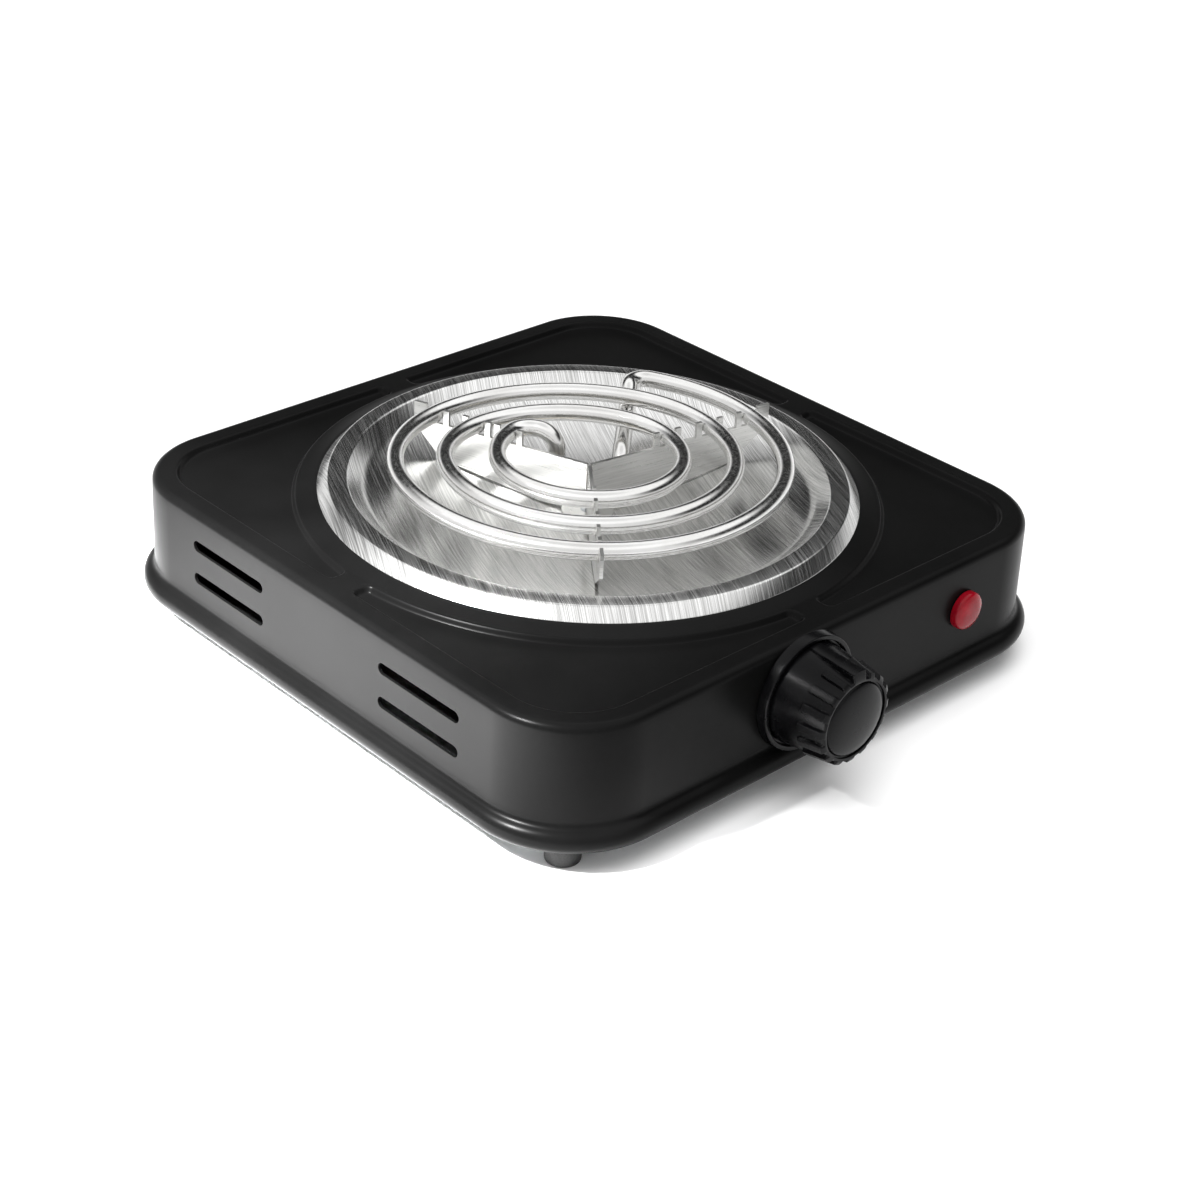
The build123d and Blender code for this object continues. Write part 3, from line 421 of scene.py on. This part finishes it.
# Circle with its points at the same angles as the outline's.
def circleLine(radius):
    edge = outline(0)
    return edge / np.hypot(edge[:, 0], edge[:, 1])[:, None] * radius


# How far inside the top edge a point lies, for a square with rounded corners.
def squareDistance(xy):
    q = np.abs(xy) - (shell["half"] - shell["corner"])
    outside = np.hypot(np.maximum(q[:, 0], 0), np.maximum(q[:, 1], 0))
    inside = np.minimum(np.maximum(q[:, 0], q[:, 1]), 0)
    return shell["corner"] - outside - inside


# Height of the top: a cone that rises to the pan's foot, and four pockets. The depth follows the
# distance in from the pocket's edges, combined so that the pocket's ends are round.
def topHeight(xy):
    r = np.hypot(xy[:, 0], xy[:, 1])
    edges = np.stack([r - shell["pocketRing"], squareDistance(xy) - shell["pocketInset"],
                      np.abs(xy[:, 0]) - shell["bridge"], np.abs(xy[:, 1]) - shell["bridge"]])
    short = np.maximum(shell["pocketEnd"] - edges, 0)
    within = shell["pocketEnd"] - np.sqrt((short ** 2).sum(0))
    t = np.clip(within / shell["pocketSlope"], 0, 1)
    rise = np.clip((shell["pocketRing"] - r) / (shell["pocketRing"] - shell["ringFoot"]), 0, 1)
    return shell["ringRise"] * rise ** shell["ringCurve"] - shell["pocketDepth"] * t * t * (3 - 2 * t)


# The rows of the skin, from the burner hole out over the top, down the wall, round the bead and back
# up inside. Every row is a closed outline of x, y and height. The top's rows are circles, then blends
# of circle and outline, then outlines; the top edge, the hollow above the bead and the bead are arcs,
# and the wall leans out by its draft. The inside repeats the outside, one sheet's thickness in.
def housingRows():
    rows = []
    ring = shell["pocketRing"]
    radii = np.concatenate([[shell["holeRadius"], shell["lipRadius"], shell["ringFoot"]], shell["ringRadii"],
                            np.linspace(ring - 0.2, ring + shell["pocketSlope"] + 0.2, 8)])
    topLines = [circleLine(r) for r in radii]
    lastCircle = topLines[-1]
    firstInset = shell["pocketInset"] + shell["pocketSlope"] + 0.3
    for t in np.linspace(0, 1, 9)[1:-1]:
        topLines.append((1 - t) * lastCircle + t * outline(firstInset))
    for inset in [*np.linspace(firstInset, shell["pocketInset"] - 0.2, 8), *shell["pocketInsets"]]:
        topLines.append(outline(inset))
    for xy in topLines:
        rows.append(np.column_stack([xy, topHeight(xy)]))
    for a in np.radians(np.linspace(0, 89, 10)):
        inset, h = shell["edge"] * (1 - np.sin(a)), -shell["edge"] * (1 - np.cos(a))
        rows.append(withHeight(inset, h))
    lean = np.tan(np.radians(shell["draft"]))
    for h in np.linspace(shell["wallTop"], shell["wallEnd"], 11):
        rows.append(withHeight(h * lean, h))
    hollow = shell["hollow"]
    foot = -shell["wallEnd"] * lean
    across = hollow + foot - shell["beadOut"]
    climb = np.sqrt((shell["beadRadius"] + hollow) ** 2 - across ** 2)
    meet = np.degrees(np.arctan2(climb, across))
    for a in np.radians(np.linspace(180, 180 + meet, 9)):
        rows.append(withHeight(-foot - hollow * (1 + np.cos(a)), shell["beadH"] + climb + hollow * np.sin(a)))
    for a in np.radians(np.linspace(meet, shell["beadStop"], 24)[1:]):
        rows.append(withHeight(-shell["beadOut"] - shell["beadRadius"] * np.cos(a),
                               shell["beadH"] + shell["beadRadius"] * np.sin(a)))
    wall = shell["sheet"]
    for h in shell["insideH"]:
        rows.append(withHeight(wall + h * lean, h))
    edgeIn, edgeDown = shell["insideEdge"]
    rows.append(withHeight(wall + edgeIn, -wall - edgeDown))
    for xy in topLines[::-3] + [topLines[0]]:
        rows.append(np.column_stack([xy, topHeight(xy) - wall]))
    return rows


# One level row: the outline at an inset, at height h.
def withHeight(inset, h):
    line = outline(inset)
    return np.column_stack([line, np.full(len(line), h)])


# Eight prisms with round ends: a stadium outline pushed through the wall along X.
def slotCutters():
    a = np.linspace(-np.pi / 2, np.pi / 2, slots["endPoints"])
    reach, radius = slots["length"] / 2 - slots["height"] / 2, slots["height"] / 2
    right = np.column_stack([reach + radius * np.cos(a), radius * np.sin(a)])
    stadium = np.vstack([right, -right])
    count = len(stadium)
    points, faces = [], []
    for side in (-1, 1):
        for end in (-1, 1):
            for h in slots["h"]:
                middle = end * (slots["fromMiddle"] + slots["length"] / 2)
                start = sum(len(p) for p in points)
                for x in (shell["half"] - slots["cutReach"], shell["half"] + slots["cutReach"]):
                    points.append(np.column_stack([np.full(count, side * x), stadium[:, 0] + middle,
                                                   stadium[:, 1] + h]))
                block = gridFaces(2, count, start=start)
                block += [list(range(start, start + count))[::-1],
                          list(range(start + count, start + 2 * count))]
                faces += block if side > 0 else [f[::-1] for f in block]
    return np.vstack(points), faces


# The evaluated mesh of a temporary object, which is then removed.
def applyModifiers(piece):
    mesh = bpy.data.meshes.new_from_object(piece.evaluated_get(bpy.context.evaluated_depsgraph_get()))
    bpy.data.objects.remove(piece)
    return mesh


# A helper that is cut or cuts, and isn't kept.
def temporaryObject(name, points, faces):
    mesh = bpy.data.meshes.new(name)
    mesh.from_pydata((points * mm + centre).tolist(), [], faces)
    piece = bpy.data.objects.new(name, mesh)
    bpy.context.scene.collection.objects.link(piece)
    return piece


# The skin is the grid of all rows, closed both ways, less the eight slot prisms.
def housing():
    rows = np.array(housingRows())
    count = rows.shape[1]
    skin = temporaryObject("skin", rows.reshape(-1, 3), gridFaces(len(rows), count, wrapRows=True))
    cutter = temporaryObject("slotCutter", *slotCutters())
    cut = skin.modifiers.new("slots", "BOOLEAN")
    cut.operation = "DIFFERENCE"
    cut.solver = "EXACT"
    cut.object = cutter
    mesh = applyModifiers(skin)
    bpy.data.objects.remove(cutter)
    return finishPiece("housingShell", mesh, enamel, "base", ["housing"], shell["sharp"])


housing()
print("housing made")


pan = {"skirt": 92.5, "skirtH": 1.3, "skirtDrop": 1.0, "crest": 88.65, "crestH": 5.3, "land": 82.4,
       "landH": 5.55, "foot": 76.4, "footH": -0.6, "floorH": -10.0, "dishEdge": 70.0, "dishStart": 66,
       "skirtRound": 0.3, "crestRound": 0.5, "landRound": 0.7, "footRound": 2.2, "sheet": 0.8,
       "count": 320, "dishRows": 24, "sharp": 50}


# Dished floor: height falls from the foot to the middle with the square of the radius.
def dishHeight(r):
    return pan["floorH"] + (pan["footH"] - pan["floorH"]) * (r / pan["foot"]) ** 2


# Pressed sheet: a turned profile of the skirt, the outer slope, the land, the inner slope and the dish,
# and the same profile one sheet's thickness lower as the underside.
def dripPan():
    edge = pan["dishEdge"]
    upper = roundedProfile([(pan["skirt"], pan["skirtH"] - pan["skirtDrop"], 0),
                            (pan["skirt"], pan["skirtH"], pan["skirtRound"]),
                            (pan["crest"], pan["crestH"], pan["crestRound"]),
                            (pan["land"], pan["landH"], pan["landRound"]),
                            (pan["foot"], pan["footH"], pan["footRound"]), (edge, dishHeight(edge), 0)], 6)
    floor = np.linspace(pan["dishStart"], 0, pan["dishRows"])
    dish = np.column_stack([floor, dishHeight(floor)])
    top = np.vstack([upper, dish])
    under = top[::-1] + np.array([0, -pan["sheet"]])
    under[-8:, 0] -= pan["sheet"]  # the inner side of the skirt
    points, faces = lathe(np.vstack([under, top]), pan["count"])
    return newPiece("dripPanPressing", points, faces, stainless, "base", ["drip_pan"],
                    pan["sharp"])


dripPan()


coil = {"tube": 3.1, "h": 12.4, "turns": (66.5, 49.4, 31.6), "stepFrom": (156.0, 148.0),
        "stepTo": (28.0, 24.0), "outerEnd": 28.0, "innerEnd": 108.0, "hook": 8.0, "hookTurn": 80.0,
        "cornerBend": 6.0, "dipBend": 5.0, "dipH": 4.0, "downBend": 7.0, "legRadius": 20.5,
        "legAngle": 15.0, "legEnd": -16.9, "sides": 20, "stepDegrees": 2.0, "joinGap": 1e-4, "sharp": 60}


# The x and y of a point at a radius and an angle.
def polar(radius, degrees):
    return radius * np.cos(np.radians(degrees)), radius * np.sin(np.radians(degrees))


# Level arc: centre + radius (cos a, sin a), with the level normal pointing away from the centre.
def arcStretch(centrePoint, radius, fromDeg, toDeg, h):
    count = max(4, int(abs(toDeg - fromDeg) * max(radius, 20) / 60 / coil["stepDegrees"]) + 2)
    a = np.radians(np.linspace(fromDeg, toDeg, count))
    x, y = centrePoint[0] + radius * np.cos(a), centrePoint[1] + radius * np.sin(a)
    turn = np.sign(toDeg - fromDeg)
    normals = np.column_stack([np.cos(a), np.sin(a), np.zeros(count)]) * turn
    return np.column_stack([x, y, np.full(count, float(h))]), normals


# Stretch straight in plan: start + along x heading, at the given heights.
def slopeStretch(start, headingDeg, along, heights):
    ux, uy = polar(1, headingDeg)
    points = np.column_stack([start[0] + ux * along, start[1] + uy * along, heights])
    return points, np.tile([uy, -ux, 0.0], (len(points), 1))


# Quarter circle from level to straight down, then straight down to endH.
def downBendStretch(start, headingDeg, h, endH):
    a = np.radians(np.linspace(0, 90, 12))
    along = coil["downBend"] * np.sin(a)
    heights = h - coil["downBend"] * (1 - np.cos(a))
    down = np.linspace(heights[-1], endH, 4)[1:]
    along = np.append(along, np.full(len(down), coil["downBend"]))
    return slopeStretch(start, headingDeg, along, np.append(heights, down))


# From the leg's foot up, along under the turns, up the dip and round the corner to the outer turn. The
# straight run is the tangent from the corner's circle to the foot; the dip is two equal arcs in
# height, one bending down and one bending back to level.
def outerLeg():
    cx, cy = polar(coil["turns"][0] - coil["cornerBend"], coil["outerEnd"])
    tx, ty = polar(coil["legRadius"], coil["legAngle"])
    run = np.sqrt((tx - cx) ** 2 + (ty - cy) ** 2 - coil["cornerBend"] ** 2)
    touch = np.degrees(np.arctan2(ty - cy, tx - cx) - np.arctan2(run, coil["cornerBend"])) % 360
    ex, ey = cx + polar(coil["cornerBend"], touch)[0], cy + polar(coil["cornerBend"], touch)[1]
    drop = coil["h"] - coil["dipH"]
    bend = np.degrees(np.arccos(1 - drop / 2 / coil["dipBend"]))
    a = np.radians(np.linspace(0, bend, 8))
    reach = coil["dipBend"] * np.sin(np.radians(bend))
    along = np.concatenate([coil["dipBend"] * np.sin(a), 2 * reach - coil["dipBend"] * np.sin(a[::-1][1:])])
    fall = coil["dipBend"] * (1 - np.cos(a))
    heights = coil["h"] - np.concatenate([fall, drop - fall[::-1][1:]])
    corner = arcStretch((cx, cy), coil["cornerBend"], coil["outerEnd"], touch, coil["h"])
    dip = slopeStretch((ex, ey), touch + 90, along, heights)
    level = slopeStretch((ex, ey), touch + 90, np.linspace(2 * reach, run - coil["downBend"], 8)[1:-1],
                         np.full(6, coil["dipH"]))
    dx, dy = polar(run - coil["downBend"], touch + 90)
    down = downBendStretch((ex + dx, ey + dy), touch + 90, coil["dipH"], coil["legEnd"])
    return [(p[::-1], -n[::-1]) for p, n in (down, level, dip, corner)]


# From the end of the inner turn round a small hook, then straight down.
def innerLeg():
    heading = coil["innerEnd"] - 90
    px, py = polar(coil["turns"][2], coil["innerEnd"])
    cx, cy = px - polar(coil["hook"], coil["innerEnd"])[0], py - polar(coil["hook"], coil["innerEnd"])[1]
    out = heading - coil["hookTurn"]
    ex, ey = cx + polar(coil["hook"], out + 90)[0], cy + polar(coil["hook"], out + 90)[1]
    return [arcStretch((cx, cy), coil["hook"], heading + 90, out + 90, coil["h"]),
            downBendStretch((ex, ey), out, coil["h"], coil["legEnd"])]


# All stretches in order: outer leg, three turns with two tangent arcs between each pair, hook.
def coilStretches():
    stretches = outerLeg()
    start = coil["outerEnd"]
    for i in range(2):
        a, b = coil["stepFrom"][i], coil["stepTo"][i]
        big, small = coil["turns"][i], coil["turns"][i + 1]
        shift = (big - small) / 2 / (1 - np.cos(np.radians((a - b) / 2)))
        stretches.append(arcStretch((0, 0), big, start, a - 360, coil["h"]))
        stretches.append(arcStretch(polar(shift, a), big - shift, a, (a + b) / 2, coil["h"]))
        stretches.append(arcStretch(polar(-shift, b), small + shift, (a + b) / 2, b, coil["h"]))
        start = b
    stretches.append(arcStretch((0, 0), coil["turns"][2], start, coil["innerEnd"] - 360, coil["h"]))
    return stretches + innerLeg()


# Tube: centre line + radius (normal cos a + binormal sin a), the binormal being tangent x normal.
def heatingCoil():
    line = np.vstack([p for p, n in coilStretches()])
    normal = np.vstack([n for p, n in coilStretches()])
    keep = np.append(True, np.linalg.norm(np.diff(line, axis=0), axis=1) > coil["joinGap"])
    line, normal = line[keep], normal[keep]
    tangent = np.gradient(line, axis=0)
    tangent /= np.linalg.norm(tangent, axis=1)[:, None]
    normal -= tangent * (normal * tangent).sum(1)[:, None]
    normal /= np.linalg.norm(normal, axis=1)[:, None]
    binormal = np.cross(tangent, normal)
    a = np.linspace(0, 2 * np.pi, coil["sides"], endpoint=False)
    spoke = normal[:, None] * np.cos(a)[:, None] + binormal[:, None] * np.sin(a)[:, None]
    skin = line[:, None] + coil["tube"] * spoke
    points = np.vstack([skin.reshape(-1, 3), line[:1], line[-1:]])
    rings, sides = len(line), coil["sides"]
    faces = gridFaces(rings, sides)
    faces += fan(0, sides, rings * sides, flip=True) + fan(rings - 1, sides, rings * sides + 1)
    return newPiece("coilTube", points, faces, sheath, "base",
                    ["coil_outer_turn", "coil_middle_turn", "coil_inner_turn"], coil["sharp"])


heatingCoil()
print("pan and coil made")


knobX, knobH = middleOf("thermostat_shaft")
knobBack, knobFront = localBox("knob")[1][1], localBox("knob")[0][1]
dial = {"base": 17.6, "end": 14.4, "length": knobBack - knobFront, "lip": 2.6, "backRound": (0.6, 0.8),
        "ribs": 16, "ribLength": 9.0, "ribHeight": 1.2, "ribWidth": 3.0, "ribStart": 0.5,
        "ribSides": (0.35, 0.1), "ribGap": (17, 20), "pointerWidth": 5.2, "pointerHeight": 2.6,
        "pointerBase": 0.4, "pointerStart": (0.6, 1.4), "pointerSides": (0.4, 0.15), "faceInset": 1.3,
        "lipInset": 0.7, "lipTurn": ((0.35, 0.45), (0.7, 0.75), (1.0, 0.8)),
        "lipStep": ((0.1, 0.7), (0.0, 0.0), (-0.4, -0.1), (-0.8, 0.5)), "domeFrom": 0.5, "domeRows": 16,
        "domeIn": 0.7, "domeBow": 0.94, "domeLow": 0.245, "around": 720, "along": 70, "sharp": 32}


# Smooth step: t * t * (3 - 2 t), where t runs from 0 to 1 between low and high.
def smooth(value, low, high):
    t = np.clip((value - low) / (high - low), 0, 1)
    return t * t * (3 - 2 * t)


# Side: radius tapers with distance d, plus ribs and the pointer, which rise by smooth steps of the
# distance across them. Front: a turned lip, a step down and a low dome, whose height follows the root
# of one less the square of the radius.
def knob():
    length = dial["length"]
    lipStart = length - dial["lip"]
    side = np.linspace(0, lipStart, dial["along"])
    a = np.linspace(0, 2 * np.pi, dial["around"], endpoint=False)
    d, angle = np.meshgrid(side, a, indexing="ij")
    taper = dial["base"] + (dial["end"] - dial["base"]) * d / lipStart
    backTurn = dial["backRound"][0] * (1 - smooth(d, 0, dial["backRound"][1]))
    period = 2 * np.pi / dial["ribs"]
    across = np.abs((angle + period / 2) % period - period / 2) * taper
    ribBack = lipStart - dial["ribLength"]
    ribIn, ribOut = dial["ribSides"]
    half = dial["ribWidth"] / 2
    rib = dial["ribHeight"] * smooth(d, ribBack, ribBack + dial["ribStart"])
    rib *= 1 - smooth(across, half - ribIn, half + ribOut)
    fromTop = np.abs((angle - np.pi / 2 + np.pi) % (2 * np.pi) - np.pi)
    rib *= smooth(fromTop, *np.radians(dial["ribGap"]))
    ridgeBack = dial["base"] + dial["pointerBase"]
    ridgeTop = ridgeBack + (dial["end"] + dial["pointerHeight"] - ridgeBack) * d / lipStart
    ridge = (ridgeTop - taper) * smooth(d, *dial["pointerStart"])
    ridgeIn, ridgeOut = dial["pointerSides"]
    half = dial["pointerWidth"] / 2
    ridge *= 1 - smooth(fromTop * taper, half - ridgeIn, half + ridgeOut)
    radius = taper - backTurn + rib + np.maximum(ridge, 0)
    rows = [np.stack([radius * np.cos(angle), d, radius * np.sin(angle)], -1)]
    last = radius[-1]
    face = dial["end"] - dial["faceInset"]
    for share, forward in dial["lipTurn"]:
        turned = last + (dial["end"] - dial["lipInset"] - last) * share
        rows.append(ringRow(turned, lipStart + forward, a))
    for out, forward in dial["lipStep"]:
        rows.append(ringRow(np.full_like(a, face + out), lipStart + forward, a))
    climb, low = dial["lip"] - dial["domeFrom"], dial["domeLow"]
    for out in np.linspace(face - 1.0, 1.0, dial["domeRows"]):
        rise = np.sqrt(1 - (out / (face - dial["domeIn"])) ** 2 * dial["domeBow"])
        dome = dial["domeFrom"] + climb * (rise - low) / (1 - low)
        rows.append(ringRow(np.full_like(a, out), lipStart + dome, a))
    grid = np.concatenate(rows).reshape(-1, 3)
    count = len(grid) // dial["around"]
    points = np.vstack([grid, [[0, length, 0]], [[0, 0.0, 0]]])
    points[:, 1] *= -1
    faces = gridFaces(count, dial["around"])
    faces += fan(count - 1, dial["around"], len(points) - 2)
    faces += fan(0, dial["around"], len(points) - 1, flip=True)
    points += np.array([knobX, knobBack, knobH])
    return newPiece("controlKnob", points, faces, phenolic, "dial", ["knob"], dial["sharp"])


# One ring of the knob at each angle's own radius, at a distance forward.
def ringRow(radius, forward, a):
    return np.stack([radius * np.cos(a), np.full_like(a, forward), radius * np.sin(a)], -1)[None]


# Piece turned about a front-to-back axis, from (radius, distance forward, rounding) corners.
def frontLathe(name, look, x, y, h, material, replaced):
    points, faces = lathe(roundedProfile(look["corners"], 6), look["around"], "y", (x, y, h))
    return newPiece(name, points, faces, material, "base", replaced, look["sharp"])


knob()

# Corners are (radius, distance forward, rounding).
bezel = {"corners": ((8.0, 0, 0), (20.2, 0, 0.1), (19.8, 3.6, 0.5), (18.25, 3.55, 0.3), (18.2, 1.6, 0.3),
                     (8.0, 1.6, 0.2), (8.0, 0, 0)), "around": 128, "sharp": 40}
frontLathe("knobBezel", bezel, knobX, localBox("knob_bezel")[1][1], knobH, phenolic,
           ["knob_bezel"])

lens = {"corners": ((0, -7, 0), (4.6, -7, 0.2), (4.6, 0, 0.1), (6.8, 0, 0.2), (6.65, 2.5, 0.9),
                    (4.2, 3.7, 2.0), (0, 4.0, 0)), "wall": 1.6, "around": 96, "sharp": 50}
lensX, lensH = middleOf("lamp_lens")
lensBack = localBox("lamp_clip")[0][1] - lens["wall"]
frontLathe("pilotLens", lens, lensX, lensBack, lensH, redLens, ["lamp_lens"])
print("knob and lamp made")


foot = {"bore": 2.3, "top": 6.0, "bottom": 5.65, "well": 3.7, "wellDepth": 3.4, "around": 72}


# Turned foot: a tapered pad with a screw hole and a well for the screw's head below.
def footPad(corner):
    low, high = localBox("foot_" + corner)
    height = high[2] - low[2]
    profile = roundedProfile([(foot["bore"], height, 0), (foot["top"], height, 0.3), (foot["bottom"], 0, 0.7),
                              (foot["well"], 0, 0.3), (foot["well"], foot["wellDepth"], 0.2),
                              (foot["bore"], foot["wellDepth"], 0), (foot["bore"], height, 0)], 6)
    place = ((low[0] + high[0]) / 2, (low[1] + high[1]) / 2, low[2])
    points, faces = lathe(profile, foot["around"], "z", place)
    return newPiece("footPad_" + corner, points, [f[::-1] for f in faces], rubber, "base",
                    ["foot_" + corner])


for corner in ("front_left", "front_right", "rear_right", "rear_left"):
    footPad(corner)


# Corners are (radius, distance back from the seat on the rear wall, rounding).
grommet = {"corners": ((3.8, -4, 0.3), (7.4, -4, 0.4), (7.4, -1.9, 0.3), (5.6, -1.8, 0.1), (5.6, 0, 0.1),
                       (8.0, 0.02, 0.4), (7.8, 2.2, 0.7), (5.7, 2.6, 0.6), (5.4, 5.0, 0.6), (3.8, 5.0, 0.4),
                       (3.8, -4, 0)), "outside": 5.0, "around": 96}


# Turned sleeve with a groove for the rear wall's sheet; its axis runs front to back.
def inletGrommet():
    x, h = middleOf("inlet_grommet")
    seat = localBox("inlet_grommet")[1][1] - grommet["outside"]
    points, faces = lathe(roundedProfile(grommet["corners"], 6), grommet["around"])
    points = points[:, [0, 2, 1]] + np.array([x, seat, h])
    return newPiece("inletGrommet", points, [f[::-1] for f in faces], rubber, "base",
                    ["inlet_grommet"])


inletGrommet()

# Pieces that keep the shape they have in CAD, and take a material.
carriedOver = {
    "base_plate": galvanisedSheet, "base_screws": zincPlate, "foot_screws": zincPlate, "foot_nuts": zincPlate,
    "coil_pins": brass, "coil_bushings": steatite, "support_hub_plate": stripSteel, "centre_bolt": zincPlate,
    "bolt_washer": zincPlate, "pan_nut": zincPlate, "support_blade_front": stripSteel,
    "support_blade_right": stripSteel, "support_blade_left": stripSteel, "thermostat_shaft": brass,
    "thermostat_bush": brass, "thermostat_nut": zincPlate, "thermostat_frame": zincPlate,
    "thermostat_base": steatite, "thermostat_spades": brass, "bimetal_strip": stripSteel,
    "contact_arm": brass, "lamp_body": nylon, "lamp_neon": glassTube, "lamp_clip": stripSteel,
    "cord_clamp": nylon, "cord_clamp_post": nylon, "clamp_screws": zincPlate, "terminal_block": nylon,
    "terminal_screws": brass, "live_lead": redSleeve, "switched_lead": redSleeve,
    "neutral_lead": whiteSleeve, "earth_lead": greenSleeve, "earth_stud": zincPlate,
}
for node, material in carriedOver.items():
    for holder in frame["nodes"][node].material_slots:
        holder.material = material
print("small pieces made")


# Bands are (height of the direction, grey). Lights stand at a place and look at an aim, both in metres.
studio = {"floor": "#f4f4f4", "floorSize": 12.0, "floorRoughness": 0.9, "floorSpecular": 0.1,
          "farBands": ((0.0, 0.9), (0.16, 0.7), (0.28, 0.02), (0.60, 0.02), (0.70, 1.0), (0.9, 1.0),
                       (0.985, 0.74)),
          "nearBands": ((0.0, 0.75), (0.55, 0.75), (0.75, 1.0), (0.9, 1.0), (0.985, 0.74)),
          "farHeading": (0.94, 0.34, 0), "edge": 0.25, "worldStrength": 1.15}
overhead = {"power": 22, "size": 1.6, "place": (-0.1, -0.1, 1.5), "aim": (0, 0, 0)}
leftHigh = {"power": 460, "cone": 26, "radius": 0.05, "place": (-0.69, 0.1, 0.78), "aim": (-0.24, 0.02, 0)}
cameraLook = {"place": (-504.17, -522.07, 379.23), "azimuth": -44.205, "elevation": 30.019, "roll": 2.875,
              "lens": 73.03, "sensor": 36.0, "shift": (-0.00101, -0.0003), "clip": (0.01, 50)}


# One square of pale paper at the height of the feet.
def floor():
    low = cadBox[0].z
    size = studio["floorSize"]
    mesh = bpy.data.meshes.new("floor")
    corners = [(-size, -size, low), (size, -size, low), (size, size, low), (-size, size, low)]
    mesh.from_pydata(corners, [], [(0, 1, 2, 3)])
    material, tree, shader, place = newMaterial("palePaper")
    shader.inputs["Base Color"].default_value = linear(studio["floor"])
    shader.inputs["Roughness"].default_value = studio["floorRoughness"]
    shader.inputs["Specular IOR Level"].default_value = studio["floorSpecular"]
    mesh.materials.append(material)
    plane = bpy.data.objects.new("floor", mesh)
    bpy.context.scene.collection.objects.link(plane)


# Square area light that fills the shadows and doesn't mirror in the metal.
def softbox(name, power, size, place, aim):
    light = bpy.data.lights.new(name, "AREA")
    light.energy = power
    light.shape = "RECTANGLE"
    light.size, light.size_y = size, size
    hang(name, light, place, aim).visible_glossy = False


# Soft-edged cone of light on one side of the housing.
def spot(name, power, cone, radius, place, aim):
    light = bpy.data.lights.new(name, "SPOT")
    light.energy, light.shadow_soft_size = power, radius
    light.spot_size, light.spot_blend = np.radians(cone), 1.0
    hang(name, light, place, aim)


# Places a light and turns it to look at a point, both in metres from the burner's axis on the floor.
def hang(name, light, place, aim):
    lamp = bpy.data.objects.new(name, light)
    bpy.context.scene.collection.objects.link(lamp)
    base = Vector((centre[0], centre[1], cadBox[0].z))
    lamp.location = base + Vector(place)
    lamp.rotation_mode = "QUATERNION"
    lamp.rotation_quaternion = (Vector(aim) - Vector(place)).to_track_quat("-Z", "Y")
    return lamp


# Camera at its place in millimetres from the housing's middle at the top. Its back direction comes
# from azimuth and elevation, right is level, and both right and up then turn by the roll.
def camera():
    az, el, roll = np.radians([cameraLook[k] for k in ("azimuth", "elevation", "roll")])
    back = np.array([np.sin(az) * np.cos(el), -np.cos(az) * np.cos(el), np.sin(el)])
    right = np.cross(-back, [0, 0, 1])
    right /= np.linalg.norm(right)
    up = np.cross(right, -back)
    rolledRight = np.cos(roll) * right + np.sin(roll) * up
    rolledUp = np.cos(roll) * up - np.sin(roll) * right
    data = bpy.data.cameras.new("camera")
    data.lens, data.sensor_width = cameraLook["lens"], cameraLook["sensor"]
    data.shift_x, data.shift_y = cameraLook["shift"]
    data.clip_start, data.clip_end = cameraLook["clip"]
    eye = bpy.data.objects.new("camera", data)
    bpy.context.scene.collection.objects.link(eye)
    turn = np.eye(4)
    turn[:3, 0], turn[:3, 1], turn[:3, 2] = rolledRight, rolledUp, back
    turn[:3, 3] = centre + np.array(cameraLook["place"]) * mm
    eye.matrix_world = Matrix(turn.tolist())
    bpy.context.scene.camera = eye


# Grey that follows the height of a direction, in bands of (height, grey).
def bandRamp(tree, height, bands):
    node = addNode(tree, "ShaderNodeValToRGB", {0: height})
    stops = node.color_ramp.elements
    stops.remove(stops[1])
    for at, grey in bands:
        stop = stops.new(at) if at > 0 else stops[0]
        stop.color = (grey, grey, grey, 1)
    return node.outputs[0]


# A studio whose far side is pale low down, then dark, then bright, and whose near side is pale all
# the way up. The ceiling is a little darker straight overhead.
def world():
    sky = bpy.data.worlds.new("studio")
    sky.use_nodes = True
    tree = sky.node_tree
    direction = addNode(tree, "ShaderNodeTexCoord").outputs["Generated"]
    height = addNode(tree, "ShaderNodeSeparateXYZ", {0: direction}).outputs[2]
    across = addNode(tree, "ShaderNodeVectorMath", {0: direction, 1: studio["farHeading"]},
                     operation="DOT_PRODUCT")
    side = ramp(tree, across.outputs["Value"], 0, 1, -studio["edge"], studio["edge"])
    both = addNode(tree, "ShaderNodeMix", {0: side, 6: bandRamp(tree, height, studio["nearBands"]),
                                           7: bandRamp(tree, height, studio["farBands"])}, data_type="RGBA")
    background = tree.nodes["Background"]
    tree.links.new(both.outputs[2], background.inputs["Color"])
    background.inputs["Strength"].default_value = studio["worldStrength"]
    bpy.context.scene.world = sky
    bpy.context.scene.view_settings.view_transform = "Standard"


floor()
world()
softbox("overhead", **overhead)
spot("leftHigh", **leftHigh)
camera()
print("floor, light and camera set")

bpy.context.view_layer.update()
